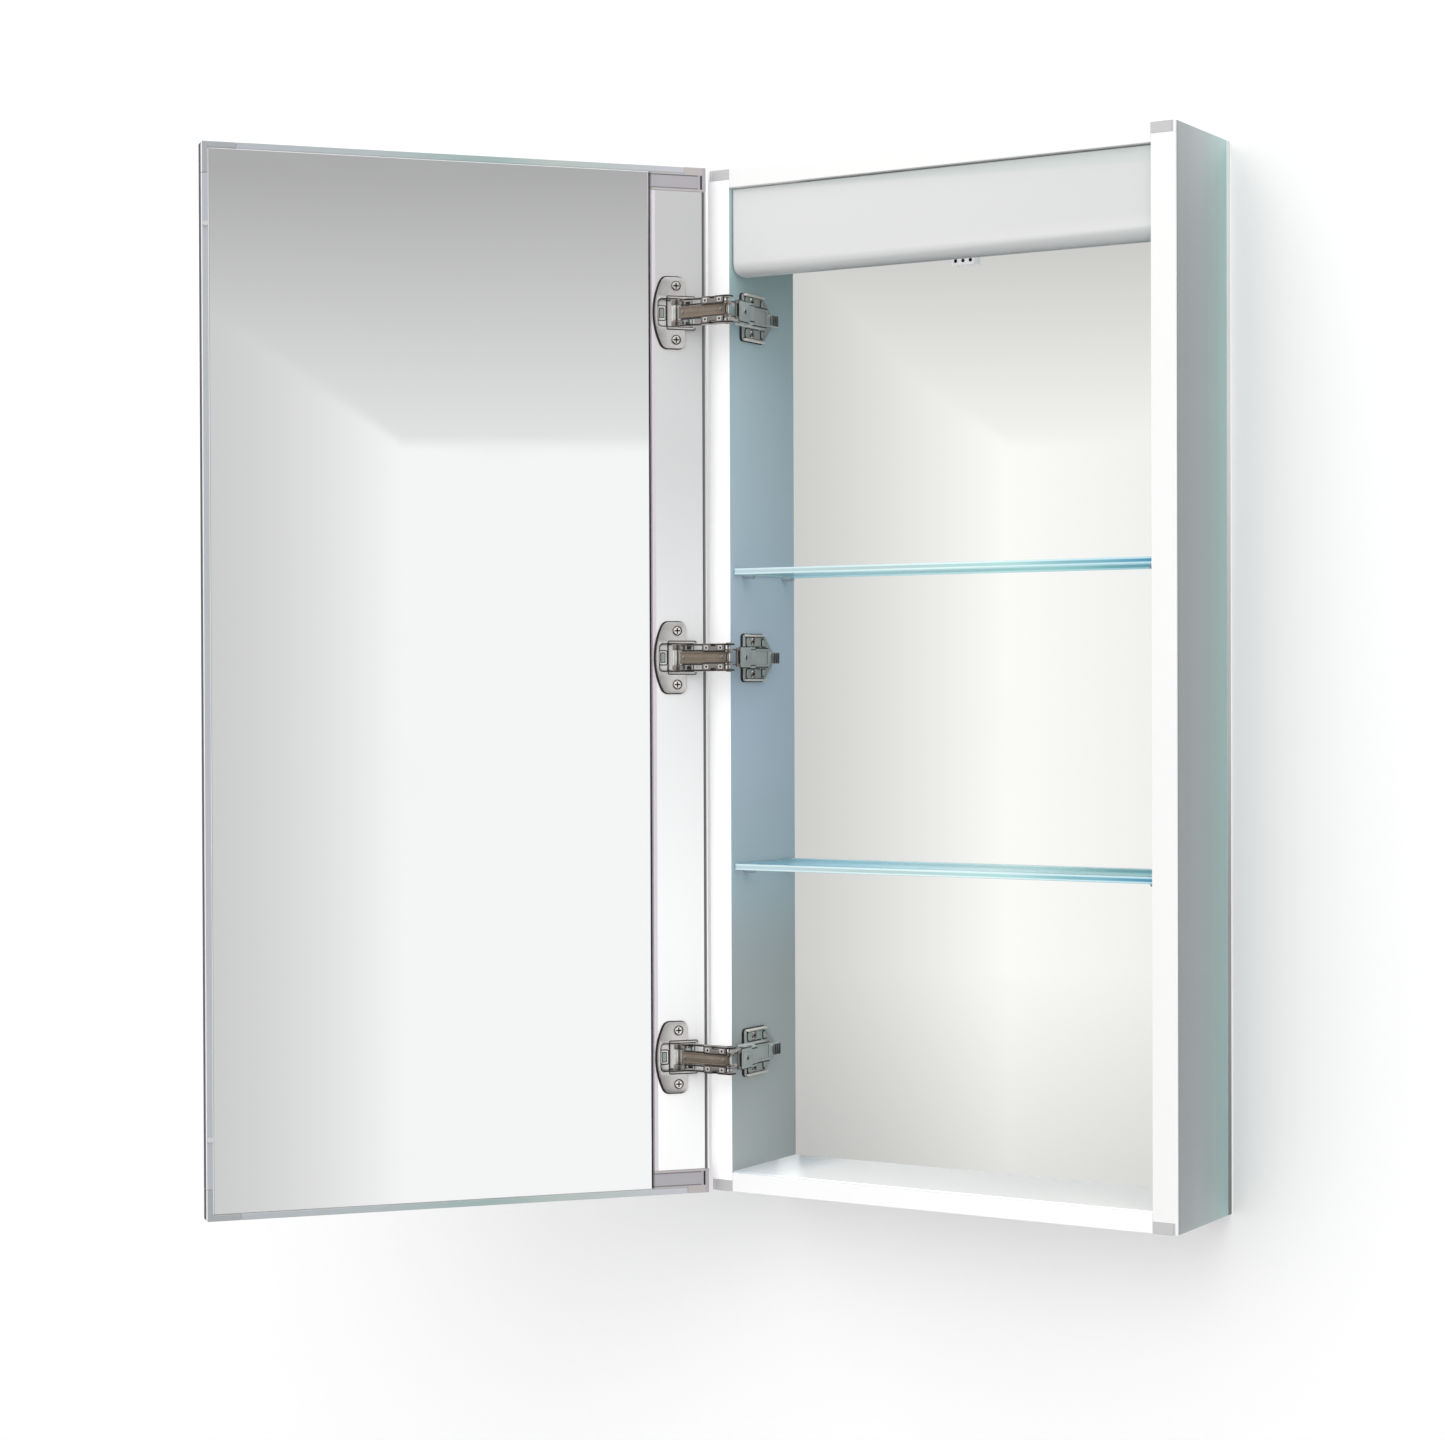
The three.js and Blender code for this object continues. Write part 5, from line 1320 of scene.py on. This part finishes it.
def finish_coupler(level):
    place = bar_axes(ELBOW, CUP_JOINT, level)
    # Finish 3 is near-black and paints shade: edges of the levers, shadow lines round the side plates, edges of
    # their pads, and strips in the gaps beside the bar.
    made = Assembly(BRONZE, PRESSED_NICKEL, BRIGHT_NICKEL, DARK_STEEL_AND_SHADE)
    length = COUPLER_LENGTH
    bar_outline = arc((0.0, 0.0), 3.0, 90, 270, 8) + arc((length, 0.0), 3.0, -90, 90, 8)
    for low, high in ((3.5, 4.6), (-4.6, -3.5)):
        made.add(stamped(bar_outline, low, high, 0.15), place)
    made.add(bar((0.5, 1.5, -4.6), (length - 1.0, 3.0, 4.6), 0.2), place)
    for side in (-1, 1):
        low, high = sorted((side * 2.9, side * 4.5))
        made.add(bar((1.5, 2.8, low), (length - 4.0, 3.4, high), 0.25), place)
    made.add(bar((3.0, 2.9, -0.9), (length - 9.0, 3.2, 0.9), 0.14), place)
    head = arc((length, 0.0), 5.2, 0, 350, 26)
    made.add(stamped(head, -10.2, -6.0, 0.4), place, 1)
    made.add(stamped(head, 6.0, 10.2, 0.4), place, 1)
    made.add(stamped(arc((length, 0.0), 4.4, 0, 350, 22), -6.2, 6.2, 0.2), place, 2)
    made.add(turned([(1.5, -12.2), (1.5, 12.2)], (length, 0.0)), place, 2)
    made.add(turned([(1.5, -10.8), (1.5, 10.8)]), place, 2)
    lever = rounded([(-4.2, -3.4, 2.4), (8.0, -3.2, 1.5), (20.0, -2.2, 2.0), (34.0, -3.6, 2.0),
                     (length + 4.4, -3.4, 3.0), (length + 4.4, 3.0, 3.0), (36.0, 3.4, 1.5),
                     (31.5, 1.4, 1.5), (22.0, 1.6, 1.5), (20.5, 5.2, 1.0), (14.5, 5.4, 1.0),
                     (12.5, 3.4, 0.8), (9.5, 3.6, 0.8), (7.8, 5.6, 1.0), (-1.0, 5.6, 2.0),
                     (-4.2, 3.2, 1.5)], 4)
    holes = [oblong(24.0, 30.0, -1.4, 0.4, 0.8), circle(11.0, 0.2, 1.3)]
    for low, high in ((9.0, 10.5), (-10.5, -9.0)):
        made.add(stamped(lever, low, high, 0.3, holes), place, 1, 3)
    for side in (-1, 1):
        near, step, far = (side * z for z in (5.0, 8.3, 9.7))
        plate = rounded([(near, 0.5, 0.8), (far, 0.5, 1.0), (far, 7.6, 0.7), (step, 8.8, 0.5),
                         (step, 12.4, 0.5), (far, 13.6, 0.7), (far, 20.4, 1.0), (near, 20.4, 0.8)], 3)
        holes = [circle(side * 7.0, x, 0.8, 12) for x in (3.8, 17.2)]
        outlined(made, plate, 4.85, 5.6, 0.2, face_axes(ELBOW, CUP_JOINT, level), 1, 3, holes)
        for start, end in ((1.8, 6.2), (14.6, 18.8)):
            low, high = sorted((side * 5.6, side * 9.0))
            made.add(stamped(oblong(low, high, start, end, 0.8), 5.4, 5.9, 0.15,
                             [circle(side * 7.2, (start + end) / 2, 0.9, 12)]),
                     face_axes(ELBOW, CUP_JOINT, level), 2, 3)
        low, high = sorted((side * 4.7, side * 5.8))
        # Painted shade: a dark strip in the gap beside the bar.
        made.add(bar((2.0, 3.4, low), (length - 6.0, 4.4, high), 0.1), place, 3)
        for x in (0.0, length):
            low, high = sorted((side * 10.3, side * 11.0))
            made.add(turned([(2.1, low), (2.1, high)], (x, 0.0)), place, 1)
    finish_hinge_part(made, "coupler", level)
    spots = [place @ Vector((x, 3.3, 0.0)) for x in (4.2, length - 6.6)]
    repeated(f"hinge_coupler_rivets_{level}", RIVETS, spots, "hinge_couplers", "hinge_nickel",
             face_axes(ELBOW, CUP_JOINT, level).to_3x3().normalized(), PRESSED_NICKEL, Radius=1.5 * MM,
             Rise=0.4 * MM)


def finish_link(level):
    place = bar_axes(ARM_PIVOT, ELBOW, level)
    # Finish 2 is near-black: dark steel for the pins, and painted shade on the web, round the cap, panel and
    # bracket, and in the gap between cap and bracket.
    made = Assembly(BRIGHT_NICKEL, PLATE_NICKEL, DARK_STEEL_AND_SHADE, PRESSED_NICKEL)
    length = LINK_LENGTH
    cheek = arc((0.0, 0.0), 4.4, 90, 270, 10) + arc((length, 0.0), 4.4, -90, 90, 10)
    for low, high in ((5.0, 6.2), (-6.2, -5.0)):
        made.add(stamped(cheek, low, high, 0.2, [circle(length, 0.0, 1.9), circle(9.5, -0.6, 1.2)]), place, 3)
    # Painted shade: the web is dark, so that the gaps beside it read as shade.
    made.add(bar((5.0, 3.2, -6.2), (length - 5.0, 4.4, 6.2), 0.3), place, 2)
    facing = face_axes(ARM_PIVOT, ELBOW, level)
    cap = rounded([(-5.7, -3.6, 1.5), (5.7, -3.6, 1.5), (5.7, 5.9, 0.4), (7.6, 7.1, 0.5), (7.6, 24.0, 1.4),
                   (-7.6, 24.0, 1.4), (-7.6, 7.1, 0.5), (-5.7, 5.9, 0.4)], 3)
    outlined(made, cap, 4.35, 5.0, 0.2, facing, 1, 2)
    panel = oblong(-4.6, 4.6, 8.0, 21.8, 1.6)
    made.add(stamped(panel, 4.8, 5.3, 0.22), facing, 1, 2)
    bracket = rounded([(-7.6, 26.0, 0.5), (-5.2, 26.0, 0.5), (-5.2, 28.6, 1.0), (5.2, 28.6, 1.0),
                       (5.2, 26.0, 0.5), (7.6, 26.0, 0.5), (7.6, 31.0, 1.4), (-7.6, 31.0, 1.4)], 3)
    made.add(stamped(bracket, 4.3, 5.3, 0.25), facing, 0, 2)
    # Painted shade: a dark strip in the gap between cap and bracket.
    made.add(bar((24.4, 4.2, -6.6), (28.4, 4.7, 6.6), 0.1), place, 2)
    for side in (-1, 1):
        low, high = sorted((side * 6.0, side * 7.8))
        made.add(turned([(1.5, low), (1.5, high)]), place, 2)
    finish_hinge_part(made, "link", level)
    spots = [place @ Vector((14.9, 5.25, 0.0))]
    repeated(f"hinge_link_screws_{level}", SCREWS, spots, "hinge_links", "hinge_nickel",
             facing.to_3x3().normalized(), NICKEL, Radius=2.3 * MM, Height=0.4 * MM,
             Slot_Length=3.2 * MM, Slot_Width=0.8 * MM, Slot_Depth=0.4 * MM)


# Arm and plate: across is into the cabinet from the plate's front, along is up, outwards is off the side
PLATE_HALF = 18.0
PLATE_TOP = 2.2
PLATE_CHAMFER = 12.5
ARM_TOP = 11.5
ARM_HALF = 7.8
PAD = (8.8, 16.4)  # from the hinge's middle
PLATE_SCREW = (13.5, 12.6)
PIVOT_RISE = 13.1


def wall_axes(level):
    return axes(Vector((WALL_X, PLATE_FRONT, HINGE_Z[level])), Vector((0, 1, 0)), UP, Vector((1, 0, 0)))


def finish_plate(level):
    place = wall_axes(level)
    # Finish 3 is near-black and paints shade: shadow lines round the plate, pads and ribs, and discs in the screw
    # holes.
    made = Assembly(PLATE_NICKEL, HIGHLIGHT_NICKEL, PLATE_NICKEL, DARK_STEEL_AND_SHADE)
    length = (PLATE_REAR - PLATE_FRONT) / MM
    half, cut = PLATE_HALF, PLATE_CHAMFER
    outline = rounded([(0.0, -half, 2.5), (length - cut, -half, 3.0), (length, -half + cut, 3.0),
                       (length, half - cut, 3.0), (length - cut, half, 3.0), (0.0, half, 2.5)])
    outlined(made, outline, 0.25, PLATE_TOP, 0.3, place, 0, 3)
    for side in (-1, 1):
        low, high = sorted((side * (half - 1.5), side * half))
        # The lips in the brighter metal: a painted highlight.
        made.add(bar((2.0, low, 0.4), (length - cut - 0.6, high, PLATE_TOP + 2.8), 0.45), place, 1)
        low, high = sorted(side * edge for edge in PAD)
        pad = rounded([(4.0, low, 2.2), (25.5, low, 2.2), (25.5, high, 2.2), (4.0, high, 2.2)])
        centre = (PLATE_SCREW[0], side * PLATE_SCREW[1])
        outlined(made, pad, PLATE_TOP, PLATE_TOP + 0.9, 0.35, place, 2, 3, [circle(*centre, 3.5)])
        # Painted shade in the screw hole.
        made.add(turned([(3.4, PLATE_TOP), (3.4, PLATE_TOP + 0.3)], centre), place, 3)
        rib = rounded([(27.5, side * 8.9, 0.8), (33.5, side * 8.9, 0.8), (33.5, side * 11.2, 0.8),
                       (30.0, side * 14.2, 0.8), (27.5, side * 14.2, 0.8)], 3)
        outlined(made, rib, PLATE_TOP, PLATE_TOP + 0.7, 0.25, place, 0, 3)
    finish_hinge_part(made, "plate", level)
    spots = [place @ Vector((PLATE_SCREW[0], side * PLATE_SCREW[1], PLATE_TOP + 0.4)) for side in (-1, 1)]
    repeated(f"hinge_plate_screws_{level}", SCREWS, spots, "cabinet", "hinge_nickel",
             place.to_3x3().normalized(), BRIGHT_NICKEL, Radius=2.8 * MM, Height=0.8 * MM,
             Slot_Length=4.2 * MM, Slot_Width=1.0 * MM, Slot_Depth=0.7 * MM)


def finish_arm(level):
    """The channel on the plate, which carries the link on its two cheeks."""
    place = wall_axes(level)
    low_y, high_y = (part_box("hinge_arm_" + level)[i][1] for i in (0, 1))
    rear = (high_y - PLATE_FRONT) / MM
    pivot = (ARM_PIVOT.y - PLATE_FRONT) / MM
    front = (low_y - PLATE_FRONT) / MM
    cover = pivot + 7.6
    # Finish 2 is near-black: painted shade on the upright edges of the top and its inset.
    made = Assembly(PLATE_NICKEL, PLATE_NICKEL, DARK_STEEL_AND_SHADE)
    lying = axes(Vector((WALL_X, PLATE_FRONT, HINGE_Z[level])), Vector((0, 1, 0)), Vector((1, 0, 0)), -UP)
    cheek = rounded([(rear, PLATE_TOP, 0.4), (front + 4.0, PLATE_TOP, 0.4), (front, PLATE_TOP + 4.2, 1.0),
                     (front, PIVOT_RISE + 4.2, 4.0), (pivot + 4.2, PIVOT_RISE + 4.2, 4.0),
                     (cover, ARM_TOP, 1.0), (rear, ARM_TOP, 1.6)])
    hole = circle(pivot, PIVOT_RISE, 1.9)
    for low, high in ((6.6, ARM_HALF), (-ARM_HALF, -6.6)):
        made.add(stamped(cheek, low, high, 0.2, [hole]), lying)
    made.add(bar((pivot, -ARM_HALF, PLATE_TOP), (rear, ARM_HALF, PLATE_TOP + 1.4), 0.2), place)
    top = oblong(cover, rear, -ARM_HALF, ARM_HALF, 1.2)
    inset = oblong(cover + 2.6, rear - 2.6, -5.2, 5.2, 1.4)
    made.add(stamped(top, ARM_TOP - 1.5, ARM_TOP - 0.45, 0.15), place, 1)
    made.add(stamped(top, ARM_TOP - 0.6, ARM_TOP, 0.2, [inset]), place, 1, 2)
    made.add(bar((rear - 1.6, -ARM_HALF, PLATE_TOP), (rear, ARM_HALF, ARM_TOP - 0.4), 0.3), place, 1)
    for side in (-1, 1):
        low, high = sorted((side * (ARM_HALF - 0.2), side * (ARM_HALF + 0.45)))
        made.add(turned([(2.3, low), (2.3, high)], (pivot, PIVOT_RISE)), lying)
    finish_hinge_part(made, "arm", level)


def finish_lever(level):
    """The grip at the arm's rear: a narrow neck, and a ribbed pad for the finger."""
    corner_low, corner_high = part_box("hinge_lever_" + level)
    start, end = ((corner[1] - PLATE_FRONT) / MM for corner in (corner_low, corner_high))
    low, high = ((corner[0] - WALL_X) / MM for corner in (corner_low, corner_high))
    place = wall_axes(level)
    made = Assembly(PLATE_NICKEL, DULL_NICKEL)
    neck = start + 6.5
    outline = rounded([(start, -4.4, 1.0), (start + 2.0, -4.4, 0.8), (start + 3.2, -2.9, 0.8),
                       (neck - 0.6, -2.9, 0.8), (neck + 0.8, -4.5, 0.8), (end, -4.5, 1.0), (end, 4.5, 1.0),
                       (neck + 0.8, 4.5, 0.8), (neck - 0.6, 2.9, 0.8), (start + 3.2, 2.9, 0.8),
                       (start + 2.0, 4.4, 0.8), (start, 4.4, 1.0)])
    made.add(stamped(outline, low, low + 2.8, 0.3), place)
    pitch = (end - neck - 1.2) / 4
    for i in range(4):
        x = neck + 1.0 + pitch * i
        made.add(bar((x, -4.3, low + 2.4), (x + pitch * 0.55, 4.3, high), 0.3), place, 1)
    finish_hinge_part(made, "lever", level)


def finish_hinges():
    for level in LEVELS:
        for finish in (finish_cup, finish_coupler, finish_link, finish_plate, finish_arm, finish_lever):
            finish(level)


finish_cabinet()
finish_electrics()
finish_door()
finish_hinges()
